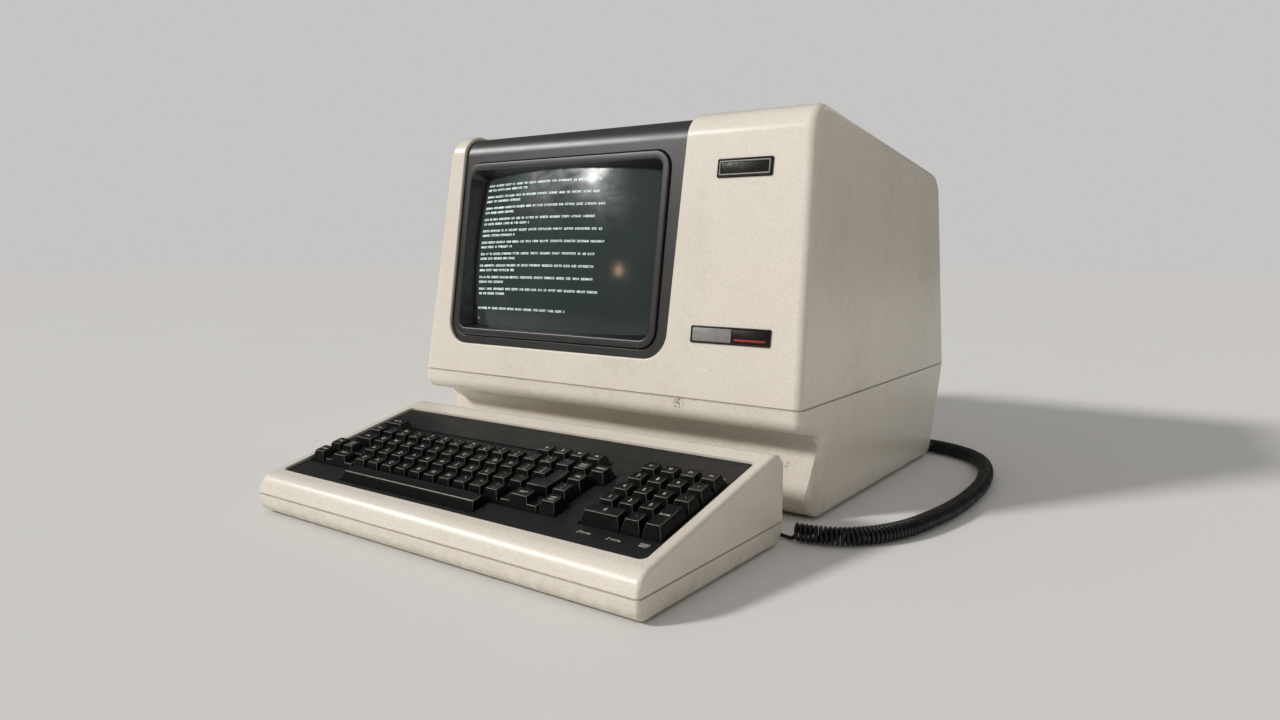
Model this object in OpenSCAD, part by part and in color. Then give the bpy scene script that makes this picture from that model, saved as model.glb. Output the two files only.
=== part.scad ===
// Desktop video terminal with a detached keyboard on a coiled cord.
// +Z is up, the screen faces -Y, and the origin is on the floor under the middle of the set.

/* [Monitor housing] */
// Width of the housing at its parting line
case_w = 480; // [450:5:520]
// Depth of the housing at its parting line
case_depth = 404; // [390:2:430]
// Height at which the front and top faces would meet in a sharp edge
case_h = 381; // [370:1:400]
// Height of the parting line between top cover and base
parting_z = 110; // [106:1:116]
// Angle by which the front face leans back
front_lean = 8.9; // [7:0.1:10]
// Angle at which the top falls away to the rear
top_fall = 7.9; // [6:0.1:9]
// Angle by which the upper rear face leans forward
rear_lean = 4.5; // [3:0.1:6]
// Draft angle of each side above the parting line
side_draft = 2.2; // [1:0.1:3]
// Radius of the front and rear edges of the top
top_edge_r = 28; // [20:1:32]
// Radius of the upright corners
corner_r = 8; // [5:1:11]
// Wall thickness of the monitor housing
wall = 4; // [3:0.5:5]

/* [Pedestal] */
// Height of the chin's lower front edge
chin_z = 90; // [86:1:94]
// Radius of the chin's lower front edge
chin_r = 14; // [8:1:18]
// Angle at which the chin's underside falls to the rear
chin_fall = 14.5; // [10:0.5:18]
// Distance from the front face back to the foot of the pedestal
base_setback = 34; // [28:1:44]
// Angle by which the pedestal's front leans back
base_lean = 9; // [6:0.5:12]
// Distance by which the foot of the rear face stands in
base_rear_in = 40; // [30:1:50]
// Radius of the cove under the chin
cove_r = 12; // [8:1:14]
// Radius of the pedestal's lower edges
base_edge_r = 17; // [12:1:20]
// Radius of the pedestal's upright front corners
base_corner_r = 24; // [16:1:30]
// Height of the rubber feet below both housings
foot_h = 2; // [1.5:0.5:3]
// Radius of the monitor's rubber feet
foot_r = 11; // [8:1:14]

/* [Screen surround] */
// Left edge of the black surround, from the housing's middle
band_left = -205; // [-210:1:-203]
// Right edge of the black surround at its foot
band_right = 94; // [90:1:104]
// Widening of the right edge from the foot to the top
band_flare = 5; // [0:1:8]
// Foot of the surround above the parting line, along the front face
band_foot = 33; // [30:1:37]
// Radius of the surround's lower corners
band_r = 26; // [18:1:30]
// Distance the surround runs back over the top
band_over = 40; // [30:1:60]
// Thickness of the surround's panel
band_t = 3; // [2.5:0.5:4]
// Lip by which the surround reaches behind the housing wall
band_lip = 5; // [3:1:6]
// Width of the picture opening
opening_w = 263; // [255:1:266]
// Middle of the picture opening, from the housing's middle
opening_x = -60; // [-62:1:-57]
// Height of the surround below the bezel ring
sill = 9.5; // [8:0.5:12]
// Height of the surround above the bezel ring, up to the housing's top
brow = 36.8; // [32:0.2:40]
// Radius of the picture opening's corners
opening_r = 10; // [6:1:16]
// Width of the bezel ring around the opening
ring_w = 8.5; // [7:0.5:9.5]
// Height by which the bezel ring stands out of the surround
ring_proud = 2.5; // [1.5:0.5:3.5]
// Depth of the bezel's funnel at its corners, behind the surround
funnel_depth = 18; // [16:1:20]
// Amount by which the funnel narrows on each side
funnel_in = 5.5; // [4:0.5:7]

/* [Picture tube] */
// Width of the faceplate
tube_w = 272; // [268:1:278]
// Height that the faceplate reaches past the opening, above and below it
tube_lap = 6; // [4:0.5:8]
// Radius of the faceplate's corners
tube_corner_r = 26; // [20:1:30]
// Radius of the faceplate's bulge
face_r = 620; // [600:10:680]
// Depth of the faceplate's middle behind the housing's front face
face_in = 2; // [1:0.5:3]
// Depth of the faceplate's skirt
skirt = 38; // [34:1:44]
// Length of the funnel behind the skirt
cone_len = 92; // [84:1:100]
// Radius of the neck
neck_r = 14.5; // [13:0.5:16]
// Length of the neck
neck_len = 105; // [98:1:110]
// Thickness of the glass
glass = 4; // [3:0.5:5]

/* [Badges] */
// Distance of both badges' middles from the housing's right side
badge_in = 75.5; // [70:0.5:80]
// Width of the upper badge
upper_badge_w = 57; // [50:1:65]
// Height of the upper badge
upper_badge_h = 17.5; // [14:0.5:22]
// Distance of the upper badge's middle below the housing's top, along the front face
upper_badge_down = 59.5; // [50:0.5:70]
// Width of the lower badge
lower_badge_w = 83; // [75:1:90]
// Height of the lower badge
lower_badge_h = 16; // [12:0.5:20]
// Distance of the lower badge's middle above the parting line, along the front face
lower_badge_up = 60.5; // [50:0.5:70]
// Height by which the badges stand out of the front face
badge_t = 2; // [1.5:0.1:3]
// Width of a badge's raised edge
badge_edge = 1.5; // [1:0.1:2]

/* [Rear panel] */
// Width of the connector panel
panel_w = 340; // [336:2:360]
// Height of the connector panel along the slope
panel_h = 66; // [64:1:70]
// Distance of the connector panel's middle below the parting line, along the slope
panel_down = 50; // [48:1:54]
// Thickness of the connector panel
panel_t = 1.5; // [1:0.5:2]
// Number of ventilation slots in the rear of the top cover
vents = 27; // [15:2:31]
// Width of one ventilation slot
vent_w = 4; // [3:0.5:5]
// Height of one ventilation slot
vent_h = 62; // [40:2:70]

/* [Keyboard] */
// Width of the keyboard housing
kb_w = 444; // [440:1:450]
// Depth of the keyboard housing
kb_depth = 211; // [208:1:216]
// Offset of the keyboard's middle from the monitor's middle
kb_x = 18; // [0:1:20]
// Gap between the keyboard's rear and the monitor's front
kb_gap = 27; // [22:1:36]
// Height of the keyboard's upper plane above the floor at its nose
rim_h = 35; // [33:0.5:38]
// Slope of the keyboard's upper plane
rim_a = 12.93; // [11:0.1:14]
// Height of the keyboard's parting line
kb_parting = 20; // [18:0.5:21]
// Wall thickness of the keyboard housing
kb_wall = 2.5; // [2:0.5:3]
// Radius of the keyboard's long rear edges
kb_rear_r = 15; // [10:1:15]
// Radius of the keyboard's rounded side edges
kb_side_r = 4; // [2:0.5:5]
// Width of the black key deck
deck_w = 424; // [421:1:427]
// Distance of the deck's front edge from the nose, along the slope
deck_front = 21; // [17:1:23]
// Distance of the deck's rear edge from the nose, along the slope
deck_rear = 183; // [178:1:188]
// Radius of the deck's corners
deck_r = 6; // [3:1:9]
// Thickness of the deck panel
deck_t = 2.5; // [2:0.5:3]

/* [Keys] */
// Spacing of the keys
pitch = 19.05; // [18.5:0.05:19.3]
// Left edge of the first full column, from the keyboard's middle
key_left = -193; // [-193.5:0.5:-192]
// Front edge of the space bar's row, along the slope
key_front = 30; // [28:0.5:31]
// Gap between neighbouring keycaps at their foot
key_gap = 0.8; // [0.6:0.1:1.2]
// Height of a keycap
cap_h = 10.5; // [9.5:0.5:11]
// Height of the key tops above the keyboard's upper plane
key_rise = 7; // [6:0.5:7.5]
// Distance a key travels when it is pressed
key_travel = 4; // [3:0.5:4.5]
// Inset of a keycap's top on each side
cap_side = 3; // [2:0.5:3.5]
// Inset of a keycap's top at its front
cap_front = 5; // [3:0.5:6]
// Inset of a keycap's top at its rear
cap_back = 1.5; // [1:0.5:2]
// Height of the low step beside the raised part of a stepped key
step_h = 5; // [4:0.5:6]
// Thickness of the steel plate that holds the key switches
plate_t = 1.5; // [1:0.5:2]

/* [Cord] */
// Diameter of the cord's straight ends
cord_d = 3.4; // [3:0.1:5]
// Outer diameter of the coiled part
coil_d = 17; // [15:0.5:17]

/* [Hidden] */

$fn = 48;
arc_step = 12;             // angle of one facet in a rounded outline
overcut = 1;               // how far a cut runs past the face it opens
seat = 0.3;                // clearance between parts that are assembled or slide
small = 0.1;               // thickness of the slices that a hull joins
far = 2 * case_depth;      // longer than any part, for prisms that are trimmed

cream = [0.84, 0.81, 0.73];
black = [0.10, 0.10, 0.10];
dark_grey = [0.22, 0.22, 0.22];
steel = [0.66, 0.67, 0.68];
copper = [0.72, 0.42, 0.22];
board_green = [0.10, 0.33, 0.18];
screen_glass = [0.17, 0.21, 0.21];

// ---- outlines -------------------------------------------------------------------------------

function unit(v) = v / norm(v);
function xy(p) = [p.x, p.y];
function turned(v) = [-v.y, v.x];
function cross2(a, b) = a.x * b.y - a.y * b.x;

// Where the line through p along u meets the line through q along v
function meet(p, u, q, v) = p + u * cross2(q - p, v) / cross2(u, v);

// An outline is a counter-clockwise list of corners [x, y, radius]. inset() moves its sides in by d.
function inset(c, d) = let (n = len(c)) [
    for (i = [0:n - 1])
        let (p = xy(c[(i + n - 1) % n]), q = xy(c[i]), s = xy(c[(i + 1) % n]))
        let (u = unit(q - p), v = unit(s - q), m = meet(q + turned(u) * d, u, q + turned(v) * d, v))
        [m.x, m.y, c[i].z == 0 ? 0 : max(0, c[i].z - sign(cross2(u, v)) * d)]
];

// The points of the arc that rounds the corner q between p and s
function fillet(p, q, s, r) =
    let (u = unit(p - q), v = unit(s - q), half = acos(u * v) / 2)
    let (o = q + unit(u + v) * r / sin(half), reach = r / tan(half))
    let (a = q + u * reach - o, b = q + v * reach - o)
    let (from = atan2(a.y, a.x), sweep = (atan2(b.y, b.x) - from + 540) % 360 - 180)
    let (n = ceil(abs(sweep) / arc_step))
    [for (k = [0:n]) o + r * [cos(from + sweep * k / n), sin(from + sweep * k / n)]];

function rounded(c) = let (n = len(c)) [
    for (i = [0:n - 1])
        each c[i].z == 0 ? [xy(c[i])]
            : fillet(xy(c[(i + n - 1) % n]), xy(c[i]), xy(c[(i + 1) % n]), c[i].z)
];

function rect(x0, x1, y0, y1, r) = [[x0, y0, r], [x1, y0, r], [x1, y1, r], [x0, y1, r]];

module outline(c) polygon(rounded(c));
module plate(w, h, r, t) linear_extrude(t) outline(rect(-w / 2, w / 2, -h / 2, h / 2, r));

// Solids drawn in a side view (y, z) or a front view (x, z)
module along_x(w) rotate([90, 0, 90]) linear_extrude(w, center = true) children();
module along_y(y0, y1) translate([0, y1, 0]) rotate([90, 0, 0]) linear_extrude(y1 - y0) children();

// ---- where things are -----------------------------------------------------------------------

front_y = (kb_gap + kb_depth - case_depth) / 2;
nose_y = front_y - kb_gap - kb_depth;

// The leaning front face at the parting line: x right, y up the face, z outwards
module on_front(x = 0, s = 0, out = 0)
    translate([0, front_y, parting_z]) rotate([90 - front_lean, 0, 0]) translate([x, s, out]) children();

// The sloping lower rear face: x as the housing's, y down the slope, z outwards
base_rear_lean = atan(base_rear_in / parting_z);
module on_rear(x = 0, down = 0, out = 0)
    translate([0, front_y + case_depth, parting_z]) rotate([-90 - base_rear_lean, 0, 0])
        translate([x, down, out]) children();

// The keyboard's sloping upper plane at its nose: x right, y up the slope, z out of the plane
module on_rim(x = 0, v = 0, out = 0)
    translate([kb_x, nose_y, rim_h]) rotate([rim_a, 0, 0]) translate([x, v, out]) children();

// ---- monitor housing ------------------------------------------------------------------------

function front_at(z) = (z - parting_z) * tan(front_lean);
function rear_at(z) = case_depth - (z - parting_z) * tan(rear_lean);
function half_w_at(z) = case_w / 2 - (z - parting_z) * tan(side_draft);

top_front = [front_at(case_h), case_h];
top_rear = meet(top_front, [1, -tan(top_fall)], [rear_at(parting_z), parting_z], [-tan(rear_lean), 1]);

// The side view of the upper housing from height z0 up
function upper_view(z0) = [[front_at(z0), z0, 0], [rear_at(z0), z0, 0],
    [top_rear.x, top_rear.y, top_edge_r], [top_front.x, top_front.y, top_edge_r]];

// The upper housing from height z0 up, with its faces moved in by d
module upper_form(z0, d) {
    intersection() {
        translate([0, front_y, 0]) along_x(far) outline(inset(upper_view(z0), d));
        hull() for (z = [z0, case_h])
            translate([0, front_y, z]) linear_extrude(small)
                outline(inset(rect(-half_w_at(z), half_w_at(z), front_at(z), rear_at(z), corner_r), d));
    }
}

band_top = (case_h - parting_z) / cos(front_lean);
band_outline = [
    [band_left, band_foot, band_r], [band_right, band_foot, band_r],
    [band_right + band_flare, band_top + band_over, 0], [band_left, band_top + band_over, 0]
];
band_reach = front_at(case_h) + band_over;

// The picture opening fills the height that the surround leaves it, and the tube follows
opening_h = band_top - brow - sill - band_foot - 2 * ring_w;
opening_s = band_foot + sill + ring_w + opening_h / 2;
tube_h = opening_h + 2 * tube_lap;

// The prism behind the surround's outline, as far back as the surround runs over the top
module band_prism(grow) intersection() {
    on_front(0, 0, -far / 2) linear_extrude(far) outline(inset(band_outline, -grow));
    translate([-far / 2, -far + front_y + band_reach + grow, 0]) cube([far, far, far]);
}

vent_pitch = 3 * vent_w;
vent_in = 60;
module rear_vents() for (i = [0:vents - 1])
    translate([(i - (vents - 1) / 2) * vent_pitch - vent_w / 2, front_y + case_depth - vent_in,
        top_rear.y - top_edge_r - vent_h])
        cube([vent_w, far, vent_h]);

module top_cover() color(cream) {
    difference() {
        upper_form(parting_z, 0);
        upper_form(parting_z - 3 * wall, wall);
        band_prism(0);
        rear_vents();
    }
    intersection() {
        for (p = boss_at) translate([p.x, front_y + p.y, parting_z]) difference() {
            cylinder(r = boss_r, h = boss_grip);
            translate([0, 0, -overcut]) cylinder(r = screw_r + small, h = boss_grip);
        }
        upper_form(parting_z, wall / 2);
    }
}

// The side view of the lower housing: the chin over a pedestal that is set back
function base_front_at(z) = base_setback + (z - foot_h) * tan(base_lean);
cove = meet([0, chin_z], [cos(chin_fall), -sin(chin_fall)], [base_front_at(foot_h), foot_h],
    [sin(base_lean), cos(base_lean)]);
function base_rear_at(z) = case_depth - (parting_z - z) * tan(base_rear_lean);
lower_view = [
    [base_front_at(foot_h), foot_h, base_edge_r], [base_rear_at(foot_h), foot_h, base_edge_r],
    [case_depth, parting_z, 0], [0, parting_z, 0], [0, chin_z, chin_r], [cove.x, cove.y, cove_r]
];
// The same view run on upwards, so that a hollow made from it is open at the top
hollow_view = [
    [base_front_at(foot_h), foot_h, base_edge_r], [base_rear_at(foot_h), foot_h, base_edge_r],
    [base_rear_at(2 * parting_z), 2 * parting_z, 0], [0, 2 * parting_z, 0], [0, chin_z, chin_r],
    [cove.x, cove.y, cove_r]
];

module lower_form(view, d) {
    half = case_w / 2;
    intersection() {
        translate([0, front_y, 0]) along_x(far) outline(inset(view, d));
        translate([0, front_y, 0]) along_y(-far, far)
            outline(inset([[-half, foot_h, base_edge_r / 2], [half, foot_h, base_edge_r / 2],
                [half, 3 * parting_z, 0], [-half, 3 * parting_z, 0]], d));
        translate([0, front_y, 0]) union() {
            translate([0, 0, cove.y - d]) linear_extrude(far)
                outline(inset(rect(-half, half, 0, case_depth, corner_r), d));
            linear_extrude(cove.y) outline(inset([
                [-half, base_setback, base_corner_r], [half, base_setback, base_corner_r],
                [half, case_depth, corner_r], [-half, case_depth, corner_r]], d));
        }
    }
}

boss_r = 6;
boss_x = case_w / 2 - wall - boss_r + overcut;
boss_at = [for (x = [-1, 1], y = [base_setback + 40, case_depth - 80]) [x * boss_x, y]];
boss_grip = 14;
screw_r = 2.5;
screw_head_r = 4;
head_z = foot_h + 8;

module boss_drill() for (p = boss_at) translate([p.x, front_y + p.y, -overcut]) {
    cylinder(r = screw_r + seat, h = far);
    cylinder(r = screw_head_r + seat, h = head_z + overcut);
}

module base_shell() color(cream) {
    difference() {
        lower_form(lower_view, 0);
        lower_form(hollow_view, wall);
        on_rear(0, panel_down, -3 * wall) plate(panel_w, panel_h, 3, far);
        boss_drill();
    }
    difference() {
        intersection() {
            for (p = boss_at) translate([p.x, front_y + p.y, 0]) cylinder(r = boss_r, h = parting_z);
            lower_form(lower_view, wall / 2);
        }
        boss_drill();
    }
    for (p = frame_posts)
        translate([p.x, front_y + p.y, foot_h + wall / 2]) cylinder(r = boss_r, h = frame_z - foot_h - wall / 2);
}

// ---- screen ---------------------------------------------------------------------------------

// Depth of the surround's face behind the housing's front face
band_face = wall;
ring_outline = rect(-opening_w / 2 - ring_w, opening_w / 2 + ring_w,
    -opening_h / 2 - ring_w, opening_h / 2 + ring_w, opening_r + ring_w);
opening_outline = rect(-opening_w / 2, opening_w / 2, -opening_h / 2, opening_h / 2, opening_r);
bezel_back = -band_face - band_t - funnel_depth;
post_r = 5;
// The posts stand just outside the ring's rounded corners
ring_corner = opening_r + ring_w;
post_gap = 1;
post_out = (ring_corner + post_gap + post_r) * cos(45) - ring_corner;
post_x = opening_w / 2 + ring_w + post_out;
post_s = opening_h / 2 + ring_w + post_out;
post_depth = funnel_depth + 1;

module screen_surround() color(dark_grey) {
    difference() {
        intersection() {
            translate([0, front_y, 0]) along_x(case_w) difference() {
                outline(inset(upper_view(parting_z), band_face));
                outline(inset(upper_view(parting_z - 2 * wall), band_face + band_t));
            }
            band_prism(band_lip);
        }
        on_front(opening_x, opening_s, -far / 2) linear_extrude(far) outline(inset(ring_outline, -seat));
    }
    for (x = [-1, 1], s = [-1, 1])
        on_front(opening_x + x * post_x, opening_s + s * post_s, -band_face - band_t - post_depth)
            difference() {
                cylinder(r = post_r, h = post_depth + band_t / 2);
                translate([0, 0, -overcut]) cylinder(r = screw_r, h = post_depth);
            }
}

// The wide sphere that the faceplate is a part of
module face_sphere(r) translate([0, 0, -face_in - face_r]) sphere(r = r, $fn = 240);

// The funnel's rear edge follows the faceplate's bulge
module screen_bezel() color(black) on_front(opening_x, opening_s) difference() {
    union() {
        translate([0, 0, -band_face - band_t]) linear_extrude(band_t + ring_proud) outline(ring_outline);
        translate([0, 0, bezel_back]) linear_extrude(funnel_depth) outline(inset(opening_outline, -glass));
    }
    hull() {
        translate([0, 0, overcut - band_face + ring_proud]) linear_extrude(small)
            outline(inset(opening_outline, -overcut * funnel_in / funnel_depth));
        translate([0, 0, bezel_back - overcut]) linear_extrude(small)
            outline(inset(opening_outline, funnel_in));
    }
    face_sphere(face_r + seat);
}

tube_outline = rect(-tube_w / 2, tube_w / 2, -tube_h / 2, tube_h / 2, tube_corner_r);
skirt_back = -face_in - skirt;
cone_back = skirt_back - cone_len;
neck_back = cone_back - neck_len;

// The tube's outer form, or its hollow when d is the thickness of the glass
module tube_form(d) {
    intersection() {
        translate([0, 0, skirt_back + d]) linear_extrude(skirt) outline(inset(tube_outline, d));
        face_sphere(face_r - 2 * d);
    }
    hull() {
        translate([0, 0, skirt_back + d]) linear_extrude(small) outline(inset(tube_outline, d));
        translate([0, 0, cone_back]) cylinder(r = neck_r - d / 2, h = small, $fn = 32);
    }
    translate([0, 0, neck_back + d]) cylinder(r = neck_r - d / 2, h = neck_len + small);
}

// The faceplate sits behind the bezel, the neck is open at its rear for the pins
module picture_tube() color(screen_glass) on_front(opening_x, opening_s) difference() {
    tube_form(0);
    tube_form(glass);
    translate([0, 0, neck_back - overcut]) cylinder(r = neck_r / 3, h = 3 * glass);
}

band_steel_t = 1.5;
ear_back = -band_face - band_t - post_depth - band_steel_t;
module tube_band() color(steel) on_front(opening_x, opening_s) difference() {
    union() {
        translate([0, 0, skirt_back + glass])
            linear_extrude(ear_back + band_steel_t - skirt_back - glass)
                outline(inset(tube_outline, -band_steel_t - seat));
        for (x = [-1, 1], s = [-1, 1])
            translate([x * (post_x - post_r), s * (post_s - post_r), ear_back])
                linear_extrude(band_steel_t)
                    outline(rect(-3 * post_r, 2 * post_r, -3 * post_r, 2 * post_r, post_r));
    }
    translate([0, 0, skirt_back - overcut]) linear_extrude(far)
        outline(inset(tube_outline, -seat));
    for (x = [-1, 1], s = [-1, 1])
        translate([x * post_x, s * post_s, ear_back - overcut]) cylinder(r = screw_r + seat, h = 3 * band_steel_t);
}

yoke_len = 46;
module deflection_yoke() color(copper) on_front(opening_x, opening_s, cone_back - yoke_len + 8) difference() {
    union() {
        cylinder(r1 = neck_r + 12, r2 = neck_r + 30, h = yoke_len - 12);
        translate([0, 0, -14]) cylinder(r = neck_r + 6, h = 14);
        translate([0, 0, 10]) cylinder(r = neck_r + 26, h = 12);
    }
    translate([0, 0, -15]) cylinder(r = neck_r + seat, h = yoke_len);
    translate([0, 0, yoke_len - 22]) cylinder(r1 = neck_r, r2 = neck_r + 24, h = 24);
}

module neck_board() color(board_green) on_front(opening_x, opening_s, neck_back) {
    translate([-30, -26, -10]) cube([60, 52, 1.6]);
    translate([0, 0, -8.4]) cylinder(r = neck_r - 1, h = 8.4 - seat);
    translate([-24, 12, -15]) cube([14, 8, 5]);
}

// The anode cap lies on the upper side of the tube's funnel
cone_fall = atan((tube_h / 2 - neck_r) / cone_len);
cap_back_by = 30;
module anode_cap() color(black)
    on_front(opening_x, opening_s + tube_h / 2 - cap_back_by * tan(cone_fall), skirt_back - cap_back_by)
        rotate([-90 - cone_fall, 0, 0]) translate([0, 0, seat]) cylinder(r1 = 13, r2 = 8, h = 7);

// ---- inside the monitor ---------------------------------------------------------------------

frame_z = 10;
frame_t = 2;
frame_x0 = -case_w / 2 + 42;
frame_x1 = case_w / 2 - 32;
frame_y0 = base_setback + 46;
frame_y1 = case_depth - base_rear_in - 34;
frame_posts = [for (x = [frame_x0 + 10, frame_x1 - 10], y = [frame_y0 + 10, frame_y1 - 10]) [x, y]];
cage_x = 128;
cage_w = 64;
guide_h = 190;
board_t = 1.6;

module chassis_frame() color(steel) translate([0, front_y, frame_z]) {
    translate([frame_x0, frame_y0, 0]) cube([frame_x1 - frame_x0, frame_y1 - frame_y0, frame_t]);
    for (y = [frame_y0 + 8, frame_y1 - 10]) {
        translate([cage_x, y, frame_t]) difference() {
            cube([cage_w, frame_t, guide_h]);
            translate([8, -overcut, 8]) cube([cage_w - 16, 3 * frame_t, guide_h - 20]);
        }
        for (dx = [-board_t / 2 - seat - 3, board_t / 2 + seat])
            translate([cage_x + cage_w / 2 + dx, y < case_depth / 2 ? y + frame_t : y - 4, frame_t])
                cube([3, 4, guide_h - 10]);
    }
}

module logic_board() color(board_green)
    translate([cage_x + cage_w / 2, front_y, frame_z + frame_t]) {
        translate([-board_t / 2, frame_y0 + 8 + frame_t + seat, 0])
            cube([board_t, frame_y1 - frame_y0 - 18 - frame_t - 2 * seat, guide_h - 14]);
        for (i = [0:5], k = [0:4])
            translate([board_t / 2, frame_y0 + 38 + 30 * i, 20 + 30 * k]) cube([4, 8, 20]);
        translate([board_t / 2, frame_y0 + 20, 40]) cube([5, 10, 52]);
    }

video_x0 = frame_x0 + 14;
video_w = 200;
video_d = 122;
video_z = frame_z + frame_t + 8;
module video_board() color(board_green) translate([video_x0, front_y + frame_y0 + 20, video_z]) {
    cube([video_w, video_d, board_t]);
    for (x = [8, video_w - 8], y = [8, video_d - 8]) translate([x, y, -8]) cylinder(r = 3, h = 8);
    for (i = [0:3]) translate([30 + 24 * i, 30, board_t]) cylinder(r = 7, h = 22);
    translate([20, 60, board_t]) cube([70, 3, 30]);
    translate([20, 70, board_t]) cube([70, 3, 30]);
    translate([20, 63, board_t]) cube([70, 7, 4]);
}

module flyback_transformer() color(black)
    translate([video_x0 + 150, front_y + frame_y0 + 90, video_z + board_t]) {
        cylinder(r = 20, h = 34);
        translate([-28, -6, 4]) cube([56, 12, 26]);
        translate([0, 0, 34]) cylinder(r = 8, h = 8);
    }

psu_x0 = frame_x0 + 14;
psu_w = 196;
psu_d = 84;
psu_h = 62;
module power_supply() color(steel) translate([psu_x0, front_y + frame_y1 - psu_d - 6, frame_z + frame_t]) {
    difference() {
        cube([psu_w, psu_d, psu_h]);
        translate([frame_t, frame_t, frame_t]) cube([psu_w - 2 * frame_t, psu_d - 2 * frame_t, psu_h]);
    }
    translate([12, 14, frame_t]) cube([62, 54, 46]);
    for (i = [0:2]) translate([102 + 34 * i, 30, frame_t]) cylinder(r = 13, h = 44);
    for (i = [0:8]) translate([88 + 11 * i, 56, frame_t]) cube([3, 20, 40]);
}

// ---- rear panel -----------------------------------------------------------------------------

inlet_x = -138;
switch_x = -98;
fuse_x = -62;
serial_x = 12;
video_x = 78;
jack_x = 150;
jack_down = 24;
socket_w = 24;
socket_h = 17;
rocker_w = 13;
rocker_h = 19;
selector_w = 12;
selector_h = 6;
bnc_r = 6.5;
jack_r = 5.5;
serial_w = 39;
serial_h = 9;

module rear_panel() color(steel) on_rear(0, panel_down, -wall) difference() {
    plate(panel_w - 2 * seat, panel_h - 2 * seat, 3, panel_t);
    translate([0, 0, -overcut]) linear_extrude(far) {
        translate([inlet_x - socket_w / 2 - 1.5, -socket_h / 2 - 1.5]) square([socket_w + 3, socket_h + 3]);
        translate([switch_x - rocker_w / 2 - 1.5, -rocker_h / 2 - 1.5]) square([rocker_w + 3, rocker_h + 3]);
        translate([fuse_x - selector_w, 16 - selector_h]) square([2 * selector_w, 2 * selector_h]);
        translate([serial_x - serial_w / 2, -serial_h / 2]) square([serial_w, serial_h]);
    }
    translate([fuse_x, -14, -overcut]) cylinder(r = 6 + seat, h = far);
    for (x = [-1, 1]) translate([video_x + 16 * x, 0, -overcut]) cylinder(r = bnc_r, h = far);
    translate([jack_x, jack_down, -overcut]) cylinder(r = jack_r + seat, h = far);
}

panel_face = panel_t - wall;
module power_inlet() color(black) on_rear(inlet_x, panel_down, panel_face) {
    difference() {
        union() {
            plate(socket_w + 12, socket_h + 8, 2, 2);
            translate([0, 0, -18]) plate(socket_w + 3 - 2 * seat, socket_h + 3 - 2 * seat, 0, 18);
        }
        translate([0, 0, -16]) linear_extrude(far) outline([
            [-socket_w / 2, -socket_h / 2, 0], [socket_w / 2, -socket_h / 2, 0],
            [socket_w / 2, socket_h / 4, 0], [socket_w / 4, socket_h / 2, 0],
            [-socket_w / 4, socket_h / 2, 0], [-socket_w / 2, socket_h / 4, 0]]);
    }
    for (p = [[-7, 3], [7, 3], [0, -1]]) translate([p.x - 1, p.y - 2, -16]) cube([2, 4, 9]);
}

rocker_tilt = 10;
rocker_pin_r = 1.5;
rocker_pin_z = 2;
rocker_top = 5;

// The frame that clips into the panel and carries the rocker's pin
module switch_body() color(black) on_rear(switch_x, panel_down, panel_face) difference() {
    union() {
        plate(rocker_w + 8, rocker_h + 8, 1, 2);
        translate([0, 0, -14]) plate(rocker_w + 3 - 2 * seat, rocker_h + 3 - 2 * seat, 0, 14);
    }
    translate([0, 0, -11]) plate(rocker_w, rocker_h, 0, far);
    translate([0, 0, -rocker_pin_z]) rotate([0, 90, 0])
        cylinder(r = rocker_pin_r + small / 2, h = rocker_w + 2.4, center = true);
}

module power_switch() color(black) on_rear(switch_x, panel_down, panel_face - rocker_pin_z)
    rotate([rocker_tilt, 0, 0]) {
        rotate([0, 90, 0]) translate([0, 0, -rocker_w / 2 + seat]) linear_extrude(rocker_w - 2 * seat)
            polygon([[3, -2], [3, 2], [0, rocker_h / 2 - 1.5], [-rocker_top, rocker_h / 2 - 1.5],
                [-rocker_top + 1.5, 0], [-rocker_top, -rocker_h / 2 + 1.5], [0, -rocker_h / 2 + 1.5]]);
        rotate([0, 90, 0]) cylinder(r = rocker_pin_r, h = rocker_w + 2, center = true);
    }

module fuse_holder() color(black) on_rear(fuse_x, panel_down - 14, panel_face) {
    translate([0, 0, -22]) cylinder(r = 6, h = 22);
    difference() {
        cylinder(r = 8, h = 7);
        translate([-1, -9, 5.5]) cube([2, 18, 3]);
    }
}

module voltage_selector() color("firebrick") on_rear(fuse_x, panel_down + 16, panel_face - panel_t) {
    translate([-selector_w + 2, -selector_h + seat, 0]) cube([selector_w - 2, 2 * (selector_h - seat), panel_t + 1]);
}

module serial_connector() color(steel) on_rear(serial_x, panel_down, panel_face) {
    difference() {
        union() {
            plate(53, 12.5, 2, 1);
            translate([0, 0, -9]) plate(serial_w - 2 * seat, serial_h - 2 * seat, 2, 9);
            plate(serial_w - 1, serial_h - 1, 3, 6);
        }
        for (x = [-1, 1]) translate([23.5 * x, 0, -overcut]) cylinder(r = 1.6, h = 4);
    }
    for (x = [-1, 1]) translate([23.5 * x, 0, 1]) difference() {
        cylinder(r = 3, h = 5, $fn = 6);
        cylinder(r = 1.6, h = far);
    }
}

module video_jacks() color(steel) for (x = [-1, 1]) on_rear(video_x + 16 * x, panel_down, panel_face) {
    difference() {
        union() {
            cylinder(r = 8, h = 2);
            translate([0, 0, -12]) cylinder(r = bnc_r - seat, h = 12);
            cylinder(r = 4.8, h = 12);
            translate([0, 0, 8]) rotate([0, 90, 0]) cylinder(r = 1, h = 12.4, center = true);
        }
        translate([0, 0, 3]) cylinder(r = 3.8, h = far);
    }
    cylinder(r = 1.2, h = 9);
}

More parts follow.
